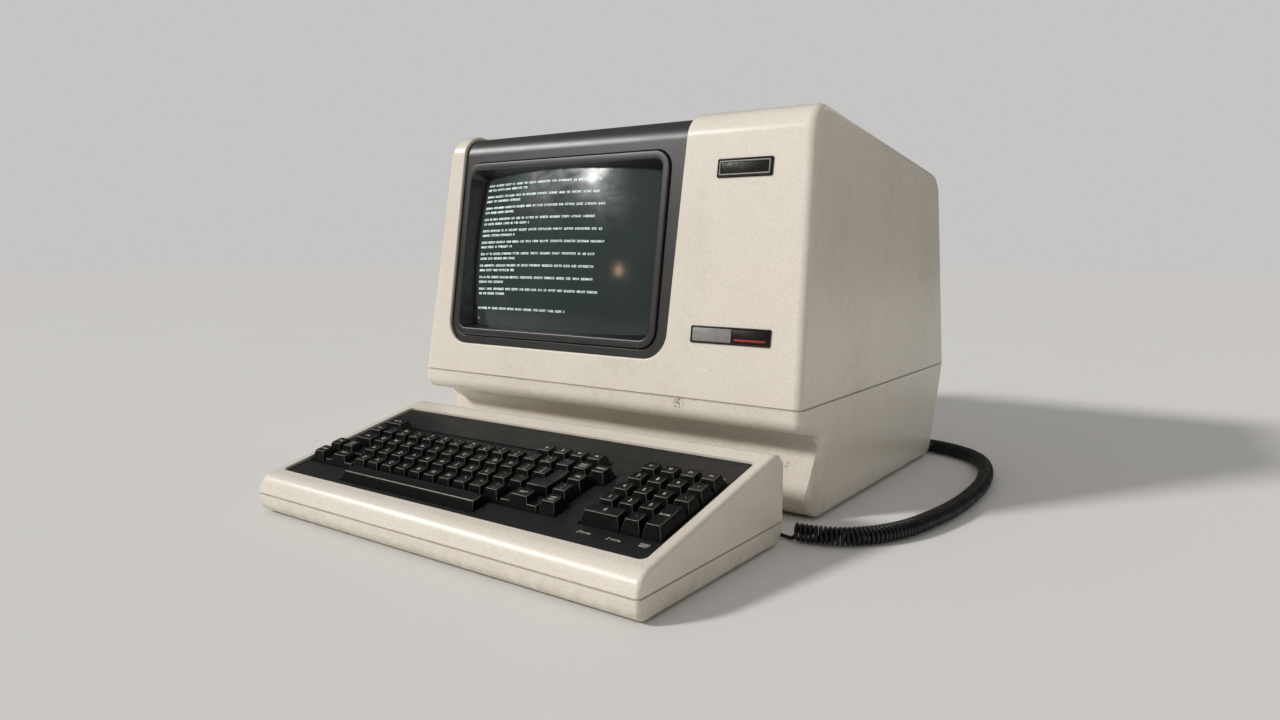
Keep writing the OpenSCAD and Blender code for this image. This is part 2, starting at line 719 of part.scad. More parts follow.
jack_bore = 3.3;
nut_h = 3;
module keyboard_jack() color(steel) on_rear(jack_x, panel_down + jack_down, panel_face) difference() {
    union() {
        translate([0, 0, -20]) cylinder(r = jack_r, h = 20 + nut_h);
        cylinder(r = jack_r + 3, h = nut_h, $fn = 6);
    }
    translate([0, 0, -18]) cylinder(r = jack_bore, h = far);
}

// ---- badges, feet and fasteners ---------------------------------------------------------------

// A shallow tray with a plate on its floor
module badge(w, h, s, inner) on_front(case_w / 2 - badge_in, s) {
    floor_w = w - 2 * badge_edge;
    floor_h = h - 2 * badge_edge;
    difference() {
        plate(w, h, badge_edge, badge_t);
        translate([0, 0, badge_t / 2]) plate(floor_w, floor_h, 1, far);
    }
    translate([0, 0, badge_t / 2]) color(inner) plate(floor_w - 2 * seat, floor_h - 2 * seat, 1, 0.3 * badge_t);
}
module upper_badge() color(steel) badge(upper_badge_w, upper_badge_h, band_top - upper_badge_down, steel);
module lower_badge() color(steel) badge(lower_badge_w, lower_badge_h, lower_badge_up, dark_grey);

foot_in = 46;
module monitor_feet() color(black)
    for (x = [-1, 1], y = [base_setback + foot_in, case_depth - base_rear_in - foot_in])
        translate([x * (case_w / 2 - foot_in), front_y + y, 0]) cylinder(r = foot_r, h = foot_h);

// Four long screws join the housing's halves and four short ones hold the picture tube
module monitor_screws() color(steel) {
    for (p = boss_at) translate([p.x, front_y + p.y, head_z]) {
        translate([0, 0, -3]) cylinder(r = screw_head_r, h = 3);
        cylinder(r = screw_r, h = parting_z + boss_grip - head_z - 4);
    }
    for (x = [-1, 1], s = [-1, 1])
        on_front(opening_x + x * post_x, opening_s + s * post_s, ear_back) {
            translate([0, 0, -3]) cylinder(r = screw_head_r, h = 3);
            cylinder(r = screw_r - small, h = post_depth - 2);
        }
}

// ---- keyboard housing ------------------------------------------------------------------------

nose_r = (rim_h - kb_parting) * cos(rim_a) / (1 - sin(rim_a));
kb_view = [
    [-kb_depth, foot_h, 11], [0, foot_h, kb_rear_r],
    [0, rim_h + kb_depth * tan(rim_a), kb_rear_r], [-kb_depth, rim_h, nose_r]
];

// The keyboard's outer form with its faces moved in by d
module kb_form(d) intersection() {
    translate([kb_x, nose_y + kb_depth, 0]) along_x(far) outline(inset(kb_view, d));
    translate([kb_x, nose_y, 0]) linear_extrude(far)
        outline(inset(rect(-kb_w / 2, kb_w / 2, 0, kb_depth, kb_side_r), d));
    on_rim() rotate([90, 0, 0]) linear_extrude(far, center = true)
        outline(inset(rect(-kb_w / 2, kb_w / 2, -far, 0, kb_side_r), d));
}
module above(z) translate([-far / 2, -far / 2, z]) cube([far, far, far]);
module below(z) translate([-far / 2, -far / 2, z - far]) cube([far, far, far]);

deck_outline = rect(-deck_w / 2, deck_w / 2, deck_front, deck_rear, deck_r);
deck_top = -kb_wall;

module keyboard_top() color(cream) difference() {
    intersection() {
        kb_form(0);
        above(kb_parting);
    }
    kb_form(kb_wall);
    on_rim(0, 0, -far / 2) linear_extrude(far) outline(deck_outline);
}

post_at = [for (x = [-kb_w / 2 + 30, 0, kb_w / 2 - 30], v = [24, 154]) [x, v]];
plate_top = -12;
plate_low = plate_top - plate_t;

module keyboard_base() color(cream) {
    difference() {
        intersection() {
            kb_form(0);
            below(kb_parting);
        }
        kb_form(kb_wall);
        translate([boot_x, nose_y + kb_depth + overcut, boot_z]) rotate([90, 0, 0])
            cylinder(r = boot_r + seat / 2, h = kb_rear_r);
    }
    intersection() {
        for (p = post_at) on_rim(p.x, p.y, plate_low - far) difference() {
            cylinder(r = 5, h = far);
            translate([0, 0, far - 12]) cylinder(r = 1.6, h = 13);
        }
        kb_form(kb_wall / 2);
    }
}

// Rows of keys: [row from the front, first column, last column] of every opening in the deck
openings = [
    [0, 3, 12], [1, -0.75, 15.75], [2, -0.75, 15.5], [3, 0, 15.5], [4, 0, 16], [5, 0, 1.5], [5, 11, 15],
    [1, 17, 21], [2, 17, 21], [3, 17, 21], [4, 17, 21], [5, 17, 21]
];
lamp_from = 1.5;
lamp_to = 11;
lamps = 7;
lamp_r = 1.6;
lamp_drop = 1;
function col_u(c) = key_left + c * pitch;
function row_v(r) = key_front + r * pitch;
function lamp_u(i) = (col_u(lamp_from) + col_u(lamp_to)) / 2 + (i - (lamps - 1) / 2) * pitch;

key_clear = 0.8;
module key_deck() color(dark_grey) difference() {
    on_rim(0, 0, deck_top - deck_t) linear_extrude(deck_t) difference() {
        outline(inset(deck_outline, -3));
        for (o = openings)
            translate([col_u(o[1]) - key_clear, row_v(o[0]) - key_clear])
                square([(o[2] - o[1]) * pitch + 2 * key_clear, pitch + 2 * key_clear]);
    }
    on_rim(col_u(lamp_from) + 3, row_v(5) + 3, deck_top - lamp_drop)
        cube([col_u(lamp_to) - col_u(lamp_from) - 6, pitch - 3, far]);
    for (i = [0:lamps - 1]) on_rim(lamp_u(i), row_v(5) + pitch / 2, deck_top - far / 2)
        cylinder(r = lamp_r + seat / 2, h = far);
}

module indicator_lamps() color("red") for (i = [0:lamps - 1])
    on_rim(lamp_u(i), row_v(5) + pitch / 2, board_top) {
        cylinder(r = lamp_r, h = deck_top - lamp_drop - board_top + 0.6);
        cylinder(r = lamp_r + 0.8, h = 3);
    }

// ---- keys ------------------------------------------------------------------------------------

// A key is [row, column, width, rows deep, raised from, raised width], in key spacings
function key(r, c, w = 1, deep = 1, from = 0, raised = 0) = [r, c, w, deep, from, raised == 0 ? w : raised];
function row_of(r, c, n) = [for (i = [0:n - 1]) key(r, c + i)];
space_keys = [key(0, 3, 9)];
return_keys = [key(2, 13, 1.5)];
left_shift_keys = [key(1, 0.25, 2.25, 1, 0.5, 1.25)];
right_shift_keys = [key(1, 12.5, 2.25, 1, 0.5, 1.25)];
control_keys = [key(2, -0.75)];
caps_keys = [key(2, 0.25, 1.75, 1, 0, 1)];
tab_keys = [key(3, 0, 1.5)];
setup_keys = [key(5, 0, 1.5)];
arrow_key_list = row_of(5, 11, 4);
number_keys = row_of(4, 0, 16);
upper_keys = concat(row_of(3, 1.5, 12), [key(3, 14.5)]);
home_keys = concat(row_of(2, 2, 11), [key(2, 14.5)]);
lower_keys = row_of(1, 2.5, 10);
line_feed_keys = [key(1, 14.75)];
no_scroll_keys = [key(1, -0.75)];
function_key_list = row_of(5, 17, 4);
pad_keys = concat(row_of(4, 17, 4), row_of(3, 17, 4), row_of(2, 17, 3), [key(1, 19)]);
pad_zero_keys = [key(1, 17, 2)];
pad_enter_keys = [key(1, 20, 1, 2)];
all_keys = concat(space_keys, return_keys, left_shift_keys, right_shift_keys, control_keys, caps_keys,
    tab_keys, setup_keys, arrow_key_list, number_keys, upper_keys, home_keys, lower_keys, line_feed_keys,
    no_scroll_keys, function_key_list, pad_keys, pad_zero_keys, pad_enter_keys);

// Place of a key's stem: the middle of its raised part
function stem_u(k) = col_u(k[1] + k[4] + k[5] / 2);
function stem_v(k) = row_v(k[0] + k[3] / 2);

stem = 4;
stem_len = 9;
cap_low = key_rise - cap_h;
switch_top = cap_low - key_travel - 1;
board_top = switch_top - 13;

// A block that narrows towards its top, w by d at its foot with its near left corner at the origin
module cap_block(w, d, h, side, front, back, r = 0.8) intersection() {
    translate([0, d, 0]) rotate([90, 0, 0]) linear_extrude(d)
        outline([[0, 0, 0], [w, 0, 0], [w - side, h, r], [side, h, r]]);
    rotate([90, 0, 90]) linear_extrude(w)
        outline([[0, 0, 0], [d, 0, 0], [d - back, h, r], [front, h, r]]);
}

module keycap(k) {
    d = k[3] * pitch - key_gap;
    low = k[5] != k[2];
    on_rim(col_u(k[1]) + key_gap / 2, row_v(k[0]) + key_gap / 2, cap_low) {
        translate([k[4] * pitch, 0, 0]) cap_block(k[5] * pitch - key_gap, d, cap_h, cap_side, cap_front, cap_back);
        if (low) cap_block(k[2] * pitch - key_gap, d, step_h, cap_side / 2, cap_front / 2, cap_back / 2);
    }
    on_rim(stem_u(k), stem_v(k), cap_low - stem_len)
        translate([-stem / 2, -stem / 2, 0]) cube([stem, stem, stem_len + cap_h / 2]);
}
module keys(list) color(black) for (k = list) keycap(k);

module space_bar() color(black) {
    d = pitch - key_gap;
    on_rim(col_u(3) + key_gap / 2, row_v(0) + key_gap / 2, cap_low)
        cap_block(9 * pitch - key_gap, d, cap_h - 2, cap_side / 2, cap_front, cap_back, 2);
    on_rim(stem_u(space_keys[0]), stem_v(space_keys[0]), cap_low - stem_len)
        translate([-stem / 2, -stem / 2, 0]) cube([stem, stem, stem_len + cap_h / 2]);
}
// The return key covers a wide cell in its own row and a narrower one in the row behind
module return_key() {
    keys(return_keys);
    color(black) on_rim(col_u(13.5) + key_gap / 2, row_v(2) + key_gap / 2, cap_low)
        cap_block(pitch - key_gap, 2 * pitch - key_gap, cap_h, cap_side, cap_front, cap_back);
}
module left_shift_key() keys(left_shift_keys);
module right_shift_key() keys(right_shift_keys);
module control_key() keys(control_keys);
module caps_lock_key() keys(caps_keys);
module tab_key() keys(tab_keys);
module setup_key() keys(setup_keys);
module arrow_keys() keys(arrow_key_list);
module number_row_keys() keys(number_keys);
module upper_row_keys() keys(upper_keys);
module home_row_keys() keys(home_keys);
module lower_row_keys() keys(lower_keys);
module line_feed_key() keys(line_feed_keys);
module no_scroll_key() keys(no_scroll_keys);
module function_keys() keys(function_key_list);
module keypad_keys() keys(pad_keys);
module keypad_zero_key() keys(pad_zero_keys);
module keypad_enter_key() keys(pad_enter_keys);

switch_w = 14;
module key_switches() color("dimgray") for (k = all_keys)
    on_rim(stem_u(k), stem_v(k), board_top) difference() {
        union() {
            translate([-switch_w / 2, -switch_w / 2, 0]) cube([switch_w, switch_w, switch_top - board_top]);
            translate([-switch_w / 2 - 0.8, -switch_w / 2 - 0.8, plate_top - board_top])
                cube([switch_w + 1.6, switch_w + 1.6, 1.2]);
        }
        translate([-stem / 2 - seat, -stem / 2 - seat, 1])
            cube([stem + 2 * seat, stem + 2 * seat, far]);
    }

plate_u = kb_w / 2 - 8;
plate_front = deck_front - 4;
plate_rear = deck_rear - 23;
module switch_plate() color(steel) on_rim(0, 0, plate_low) linear_extrude(plate_t) difference() {
    outline(rect(-plate_u, plate_u, plate_front, plate_rear, 2));
    for (k = all_keys)
        translate([stem_u(k) - switch_w / 2 - seat, stem_v(k) - switch_w / 2 - seat])
            square(switch_w + 2 * seat);
    for (i = [0:lamps - 1]) translate([lamp_u(i), row_v(5) + pitch / 2]) circle(r = lamp_r + 1.2);
    for (p = post_at) translate([p.x, p.y]) circle(r = 1.7);
}

module keyboard_board() color(board_green) on_rim(0, 0, board_top - board_t) {
    linear_extrude(board_t) outline(rect(-kb_w / 2 + 14, kb_w / 2 - 14, row_v(0) + 2, row_v(6) - 1, 2));
    translate([-20, 60, -5]) cube([52, 14, 5]);
    translate([60, 100, -9]) cylinder(r = 16, h = 9);
}

kb_foot_x = kb_w / 2 - 26;
module keyboard_feet() color(black)
    for (x = [-1, 1], y = [28, kb_depth - 28])
        translate([kb_x + x * kb_foot_x, nose_y + y, 0]) cylinder(r = 7, h = foot_h);

module keyboard_screws() color(steel) for (p = post_at) on_rim(p.x, p.y, plate_top) {
    cylinder(r = 3, h = 2);
    translate([0, 0, -9]) cylinder(r = 1.5, h = 9);
}

// ---- cord ------------------------------------------------------------------------------------

// Middle line of the lead from the keyboard, of the coil and of the lead to the plug
lead_route = [[188, -97, 14], [188.3, -91, 13.2], [191, -84.5, 10.5], [197, -80.5, 7], [206, -80.5, 4.5],
    [215, -85, 3.2], [224, -92, 3], [234, -98.5, 3], [245.5, -101, 3]];
coil_route = [[246, -99, 9], [270, -94, 9], [290, -82, 9], [308, -60, 9], [322, -27, 9], [332, 22, 9],
    [336, 60, 9], [337, 102, 9], [335, 145, 9], [329, 186, 9], [321, 218, 9], [309, 248, 9], [292, 271, 9],
    [270, 287, 9], [243, 298, 9], [214, 302, 9]];
plug_route = [[213, 302, 9], [204, 304, 10], [195, 305, 15], [187, 306, 24], [180, 307, 31], [173, 307, 34]];

function along(p, i) = unit(p[min(i + 1, len(p) - 1)] - p[max(i - 1, 0)]);
function ring(p, i, r, n) =
    let (t = along(p, i), side = unit(cross([0, 0, 1], t)), up = cross(t, side))
    [for (k = [0:n - 1]) p[i] + r * (cos(360 * k / n) * side + sin(360 * k / n) * up)];
module tube(p, r, n) {
    last = len(p) - 1;
    polyhedron(
        points = [for (i = [0:last]) each ring(p, i, r, n)],
        faces = concat(
            [[for (k = [0:n - 1]) k], [for (k = [n - 1:-1:0]) last * n + k]],
            [for (i = [0:last - 1], k = [0:n - 1])
                let (m = (k + 1) % n) [i * n + k, (i + 1) * n + k, (i + 1) * n + m, i * n + m]]
        ));
}
module keyboard_lead() color(black) tube(lead_route, cord_d / 2, 10);
module coiled_cord() color(black) tube(coil_route, coil_d / 2, 12);
module plug_lead() color(black) tube(plug_route, cord_d / 2, 10);

boot_x = 188;
boot_z = 14;
boot_r = 4.5;
boot_grip = 6;
boot_len = 12.4;
module cord_boot() color(black) translate([boot_x, nose_y + kb_depth, boot_z]) rotate([-90, 0, 0]) {
    cylinder(r1 = boot_r + 1.2, r2 = cord_d / 2 + 0.6, h = boot_len);
    translate([0, 0, -kb_wall - boot_grip]) cylinder(r = boot_r, h = kb_wall + boot_grip + 0.5);
    translate([0, 0, -kb_wall - boot_grip]) cylinder(r = boot_r + 1.5, h = 2);
}

plug_out = 12;
module phone_plug() color(black) on_rear(jack_x, panel_down + jack_down, panel_face + nut_h + seat) {
    translate([0, 0, -16]) cylinder(r = jack_bore - 0.15, h = 17);
    cylinder(r = 6.5, h = plug_out + 4);
    translate([0, 0, plug_out - 2]) rotate([0, 90, 0]) cylinder(r1 = 5.5, r2 = 3.6, h = 22);
}

top_cover();
base_shell();
screen_surround();
screen_bezel();
picture_tube();
tube_band();
deflection_yoke();
neck_board();
anode_cap();
flyback_transformer();
video_board();
chassis_frame();
logic_board();
power_supply();
rear_panel();
serial_connector();
video_jacks();
keyboard_jack();
power_inlet();
fuse_holder();
switch_body();
power_switch();
voltage_selector();
upper_badge();
lower_badge();
monitor_feet();
monitor_screws();
keyboard_top();
keyboard_base();
key_deck();
switch_plate();
key_switches();
keyboard_board();
indicator_lamps();
keyboard_feet();
keyboard_screws();
cord_boot();
keyboard_lead();
coiled_cord();
plug_lead();
phone_plug();
space_bar();
return_key();
left_shift_key();
right_shift_key();
control_key();
caps_lock_key();
tab_key();
setup_key();
arrow_keys();
number_row_keys();
upper_row_keys();
home_row_keys();
lower_row_keys();
line_feed_key();
no_scroll_key();
function_keys();
keypad_keys();
keypad_zero_key();
keypad_enter_key();
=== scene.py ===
"""Looks of a desktop video terminal with a detached keyboard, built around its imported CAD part.

Shapes are worked out in millimetres, in the part's own frame, and turned to metres when a mesh is made.
"""

import math
import random

import bmesh
import bpy
from mathutils import Matrix, Vector
from mathutils.bvhtree import BVHTree


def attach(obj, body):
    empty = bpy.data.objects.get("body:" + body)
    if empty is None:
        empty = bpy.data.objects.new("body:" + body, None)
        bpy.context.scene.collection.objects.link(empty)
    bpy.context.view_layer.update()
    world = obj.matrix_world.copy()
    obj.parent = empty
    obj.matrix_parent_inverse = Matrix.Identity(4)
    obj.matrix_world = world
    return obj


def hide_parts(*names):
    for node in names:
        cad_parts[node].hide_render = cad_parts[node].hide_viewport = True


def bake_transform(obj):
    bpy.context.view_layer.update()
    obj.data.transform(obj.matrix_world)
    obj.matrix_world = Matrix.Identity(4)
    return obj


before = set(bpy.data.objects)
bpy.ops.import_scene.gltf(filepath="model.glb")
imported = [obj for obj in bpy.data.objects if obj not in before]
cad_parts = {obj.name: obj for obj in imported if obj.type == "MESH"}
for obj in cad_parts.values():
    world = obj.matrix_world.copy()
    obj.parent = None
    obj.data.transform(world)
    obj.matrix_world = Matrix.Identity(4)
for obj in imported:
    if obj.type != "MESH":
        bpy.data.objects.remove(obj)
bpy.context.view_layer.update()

MM = 0.001
random.seed(7)

# ---- sizes, in millimetres and degrees, as the part has them ----

CASE_W, CASE_DEPTH, CASE_H = 480, 404, 381
PARTING_Z = 110
FRONT_LEAN, TOP_FALL, REAR_LEAN, SIDE_DRAFT = (math.radians(a) for a in (8.9, 7.9, 4.5, 2.2))
TOP_EDGE_R, CORNER_R, WALL = 28, 8, 4
CHIN_Z, CHIN_R, CHIN_FALL = 90, 14, math.radians(14.5)
BASE_SETBACK, BASE_LEAN, BASE_REAR_IN = 34, math.radians(9), 40
COVE_R, BASE_EDGE_R, BASE_SIDE_R, BASE_CORNER_R, FOOT_H = 12, 17, 7, 24, 2
GROOVE, GROOVE_DEEP = 1.5, 2.2
BAND_LEFT, BAND_RIGHT, BAND_FLARE, BAND_FOOT = -205, 94, 5, 33
BAND_R, BAND_OVER, BAND_T, BAND_LIP = 26, 40, 3, 5
OPENING_W, OPENING_H, OPENING_X, OPENING_S, OPENING_R = 263, 178, -60, 140, 10
RING_W, RING_PROUD, RING_OUTER_R, RING_INNER_R, FUNNEL_LEAN = 8.5, 2.5, 1.4, 2, 0.3
TUBE_W, TUBE_H, TUBE_CORNER_R, FACE_R, FACE_IN = 272, 190, 26, 620, 2
SKIRT, CONE_LEN, NECK_R, NECK_LEN = 38, 92, 14.5, 105
PANEL_W, PANEL_H, PANEL_DOWN, PANEL_R = 340, 66, 50, 3
VENTS, VENT_W, VENT_H = 27, 4, 62
KB_W, KB_DEPTH, KB_X, KB_GAP = 444, 211, 18, 27
RIM_H, RIM_A, KB_PARTING, KB_WALL = 35, math.radians(12.93), 20, 2.5
KB_FRONT_R, KB_REAR_R, KB_SIDE_R = 11, 15, 4
DECK_W, DECK_FRONT, DECK_REAR, DECK_R = 424, 21, 183, 6
PITCH, KEY_LEFT, KEY_FRONT, KEY_GAP = 19.05, -193, 30, 0.8
CAP_H, KEY_RISE, CAP_SIDE, CAP_FRONT, CAP_BACK, STEP_H = 10.5, 7, 3, 5, 1.5, 5
CORD_D, COIL_D = 3.4, 16

FRONT_Y = (KB_GAP + KB_DEPTH - CASE_DEPTH) / 2
NOSE_Y = FRONT_Y - KB_GAP - KB_DEPTH
FRONT = Matrix.Translation((0, FRONT_Y, PARTING_Z)) @ Matrix.Rotation(math.pi / 2 - FRONT_LEAN, 4, "X")
SCREEN = FRONT @ Matrix.Translation((OPENING_X, OPENING_S, 0))
RIM = Matrix.Translation((KB_X, NOSE_Y, RIM_H)) @ Matrix.Rotation(RIM_A, 4, "X")
BASE_REAR_LEAN = math.atan(BASE_REAR_IN / PARTING_Z)

# ---- outlines ----

ARC_STEP = math.radians(5)


def steps(a, b, n):
    """n + 1 values from a to b."""
    return [a + (b - a) * k / n for k in range(n + 1)]


def smoothstep(x):
    x = min(1, max(0, x))
    return x * x * (3 - 2 * x)


def polar(r, t):
    return r * Vector((math.cos(t), math.sin(t)))


def turned(v):
    return Vector((-v.y, v.x))


def meet(p, u, q, v):
    """Where the line through p along u meets the line through q along v."""
    return p + u * ((q - p).cross(v) / u.cross(v))


def corner_parts(corners, i):
    """The corner i of an outline [(x, y, radius)] with its two neighbours."""
    n = len(corners)
    return [Vector(corners[k % n][:2]) for k in (i - 1, i, i + 1)]


def inset(corners, d):
    """A counter-clockwise outline with its sides moved in by d."""
    moved = []
    for i, corner in enumerate(corners):
        p, q, s = corner_parts(corners, i)
        u, v = (q - p).normalized(), (s - q).normalized()
        m = meet(q + turned(u) * d, u, q + turned(v) * d, v)
        turn = math.copysign(1, u.cross(v))
        moved.append((m.x, m.y, max(0, corner[2] - turn * d) if corner[2] else 0))
    return moved


def rounded(corners):
    """The points of an outline whose corners are arcs."""
    points = []
    for i, corner in enumerate(corners):
        p, q, s = corner_parts(corners, i)
        r = corner[2]
        if r == 0:
            points.append(q)
            continue
        u, v = (p - q).normalized(), (s - q).normalized()
        half = math.acos(u.dot(v)) / 2
        centre = q + (u + v).normalized() * (r / math.sin(half))
        a = q + u * (r / math.tan(half)) - centre
        b = q + v * (r / math.tan(half)) - centre
        start = math.atan2(a.y, a.x)
        sweep = (math.atan2(b.y, b.x) - start + 3 * math.pi) % (2 * math.pi) - math.pi
        points += [centre + polar(r, start + t) for t in steps(0, sweep, math.ceil(abs(sweep) / ARC_STEP))]
    return points


def across(half_w, low, high, r, high_r=None):
    """A four-cornered outline centred on x = 0, whose two high corners may have another radius."""
    high_r = r if high_r is None else high_r
    return [(-half_w, low, r), (half_w, low, r), (half_w, high, high_r), (-half_w, high, high_r)]


def ring(half_w, half_h, r, corner_n, side_n):
    """Points round a rounded rectangle, always as many for the same counts."""
    points = []
    corners = [(1, 1), (-1, 1), (-1, -1), (1, -1)]
    for k, (sx, sy) in enumerate(corners):
        start = k * math.pi / 2
        centre = Vector((sx * (half_w - r), sy * (half_h - r)))
        points += [centre + polar(r, start + t) for t in steps(0, math.pi / 2, corner_n)]
        nx, ny = corners[(k + 1) % 4]
        after = Vector((nx * (half_w - r), ny * (half_h - r))) + polar(r, start + math.pi / 2)
        last = points[-1]
        points += [last.lerp(after, j / side_n) for j in range(1, side_n)]
    return points


# ---- meshes ----

SHARP, EDGE_ANGLE, FLAT = (math.radians(a) for a in (38, 32, 0.4))


def add_object(name, data):
    obj = bpy.data.objects.new(name, data)
    bpy.context.scene.collection.objects.link(obj)
    return obj


def new_object(name, bm, materials=()):
    """An object from a bmesh that is in millimetres."""
    mesh = bpy.data.meshes.new(name)
    bmesh.ops.recalc_face_normals(bm, faces=bm.faces)
    bm.transform(Matrix.Scale(MM, 4))
    bm.normal_update()
    bm.to_mesh(mesh)
    bm.free()
    for m in materials:
        mesh.materials.append(m)
    return add_object(name, mesh)


def prism(points, place, bm=None):
    """A solid between two copies of an outline; place(point, end) puts each point, end is 0 or 1."""
    bm = bm or bmesh.new()
    ends = [[bm.verts.new(Vector(place(p, end))) for p in points] for end in (0, 1)]
    n = len(points)
    for i in range(n):
        bm.faces.new((ends[0][i], ends[0][(i + 1) % n], ends[1][(i + 1) % n], ends[1][i]))
    bm.faces.new(ends[0][::-1])
    bm.faces.new(ends[1])
    return bm


def on_plane(points, matrix, low, high, bm=None):
    """A prism of an outline drawn in a plane, between two heights over it."""
    return prism(points, lambda p, end: matrix @ Vector((p[0], p[1], (low, high)[end])), bm)


def box(bm, low, high, matrix=Matrix.Identity(4)):
    """A box from corner to corner, moved by matrix."""
    points = [(low[0], low[1]), (high[0], low[1]), (high[0], high[1]), (low[0], high[1])]
    return on_plane(points, matrix, low[2], high[2], bm)


def along_x(points, half_w):
    """A prism of a side view (y, z); half_w is its half width, or gives it for a height z."""
    width = half_w if callable(half_w) else lambda z: half_w
    return prism(points, lambda p, end: ((2 * end - 1) * width(p[1]), p[0], p[1]))


def loft(rings, bm=None, capped=True):
    """A smooth skin over rings of points of equal count. Its ends are capped, or it closes on itself."""
    bm = bm or bmesh.new()
    rows = [[bm.verts.new(p) for p in r] for r in rings]
    pairs = list(zip(rows, rows[1:]))
    if not capped:
        pairs.append((rows[-1], rows[0]))
    n = len(rows[0])
    faces = [bm.faces.new((a[i], a[(i + 1) % n], b[(i + 1) % n], b[i])) for a, b in pairs for i in range(n)]
    if capped:
        faces += [bm.faces.new(rows[0][::-1]), bm.faces.new(rows[-1])]
    for f in faces:
        f.smooth = True
    return bm


def lofted(name, rings, material, sharp=None, capped=True):
    """A lofted piece, whose edges over sharp degrees aren't shaded smooth."""
    piece = new_object(name, loft(rings, capped=capped), [material])
    if sharp:
        piece.data.set_sharp_from_angle(angle=math.radians(sharp))
    return piece


def boolean(obj, tool, operation="DIFFERENCE"):
    """Cuts or joins obj with tool, which is used up; tool is an object, or a bmesh in millimetres."""
    if isinstance(tool, bmesh.types.BMesh):
        tool = new_object("tool", tool)
    modifier = obj.modifiers.new("cut", "BOOLEAN")
    modifier.object, modifier.operation, modifier.solver = tool, operation, "EXACT"
    bpy.context.view_layer.update()
    graph = bpy.context.evaluated_depsgraph_get()
    result = bpy.data.meshes.new_from_object(obj.evaluated_get(graph))
    obj.modifiers.clear()
    old, obj.data = obj.data, result
    bpy.data.meshes.remove(old)
    bpy.data.meshes.remove(tool.data)
    return obj


def read_mesh(obj):
    bm = bmesh.new()
    bm.from_mesh(obj.data)
    return bm


def write_mesh(bm, obj):
    bm.to_mesh(obj.data)
    bm.free()


def tidy_faces(obj):
    """Joins the flat pieces that a cut leaves."""
    bm = read_mesh(obj)
    bmesh.ops.remove_doubles(bm, verts=bm.verts, dist=1e-6)
    bmesh.ops.dissolve_limit(bm, angle_limit=FLAT, verts=bm.verts, edges=bm.edges)
    write_mesh(bm, obj)


def round_edges(bm, edges, r, segments):
    """Rounds edges of a bmesh; r is in the bmesh's own unit."""
    bmesh.ops.bevel(bm, geom=edges, offset=r, segments=segments, profile=0.5, affect="EDGES",
                    clamp_overlap=False)


def round_off(bm, edges, r):
    """Rounds edges of a form that is still in millimetres."""
    bmesh.ops.recalc_face_normals(bm, faces=bm.faces)
    round_edges(bm, edges, r, 6)


def is_sharp(edge):
    return len(edge.link_faces) == 2 and edge.calc_face_angle(0) > SHARP


def add_bevel(obj, width, segments=2):
    bevel = obj.modifiers.new("edges", "BEVEL")
    bevel.width, bevel.segments = width * MM, segments
    bevel.limit_method, bevel.angle_limit = "ANGLE", EDGE_ANGLE
    bevel.harden_normals = True
    return bevel


def soften(obj, width=0, segments=2, sharp=32):
    """Rounds the sharp edges a little and shades the rest smooth."""
    if width:
        add_bevel(obj, width, segments).miter_outer = "MITER_ARC"
    obj.data.shade_smooth()
    obj.data.set_sharp_from_angle(angle=math.radians(sharp))
    obj.modifiers.new("normals", "WEIGHTED_NORMAL").keep_sharp = True


def mount(obj, body, slot, *nodes):
    """Makes a finished piece ride on its body and stand for its CAD nodes, which are hidden; its slot is not
    used.
    """
    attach(obj, body)
    if nodes:
        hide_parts(*nodes)


# ---- camera ----

LENS, SENSOR_W = 24.81, 36
CAMERA_AT = (563.2, -770.2, 251.4)
CAMERA_TURN = (82.621, 0, 35.635)


def make_camera():
    data = bpy.data.cameras.new("camera")
    data.lens, data.sensor_width = LENS, SENSOR_W
    data.clip_start, data.clip_end = 0.01, 50
    camera = add_object("camera", data)
    camera.location = Vector(CAMERA_AT) * MM
    camera.rotation_euler = [math.radians(a) for a in CAMERA_TURN]
    bpy.context.scene.camera = camera


make_camera()

# ---- node trees ----


def linear(r, g, b):
    """A colour given as it shows on a screen, 0 to 255, as the shaders take it."""
    return tuple(((c / 255 + 0.055) / 1.055) ** 2.4 if c > 10 else c / 255 / 12.92 for c in (r, g, b)) + (1,)


def connect(tree, socket, value):
    """Gives a socket a constant, or another node's output."""
    if isinstance(value, bpy.types.NodeSocket):
        tree.links.new(value, socket)
    else:
        socket.default_value = value


def add_node(tree, kind, output, inputs=None, **settings):
    """The output of a new node; its inputs go by name or number."""
    node = tree.nodes.new("ShaderNode" + kind)
    for name, value in settings.items():
        setattr(node, name, value)
    for which, value in (inputs or {}).items():
        connect(tree, node.inputs[which], value)
    return node.outputs[output]


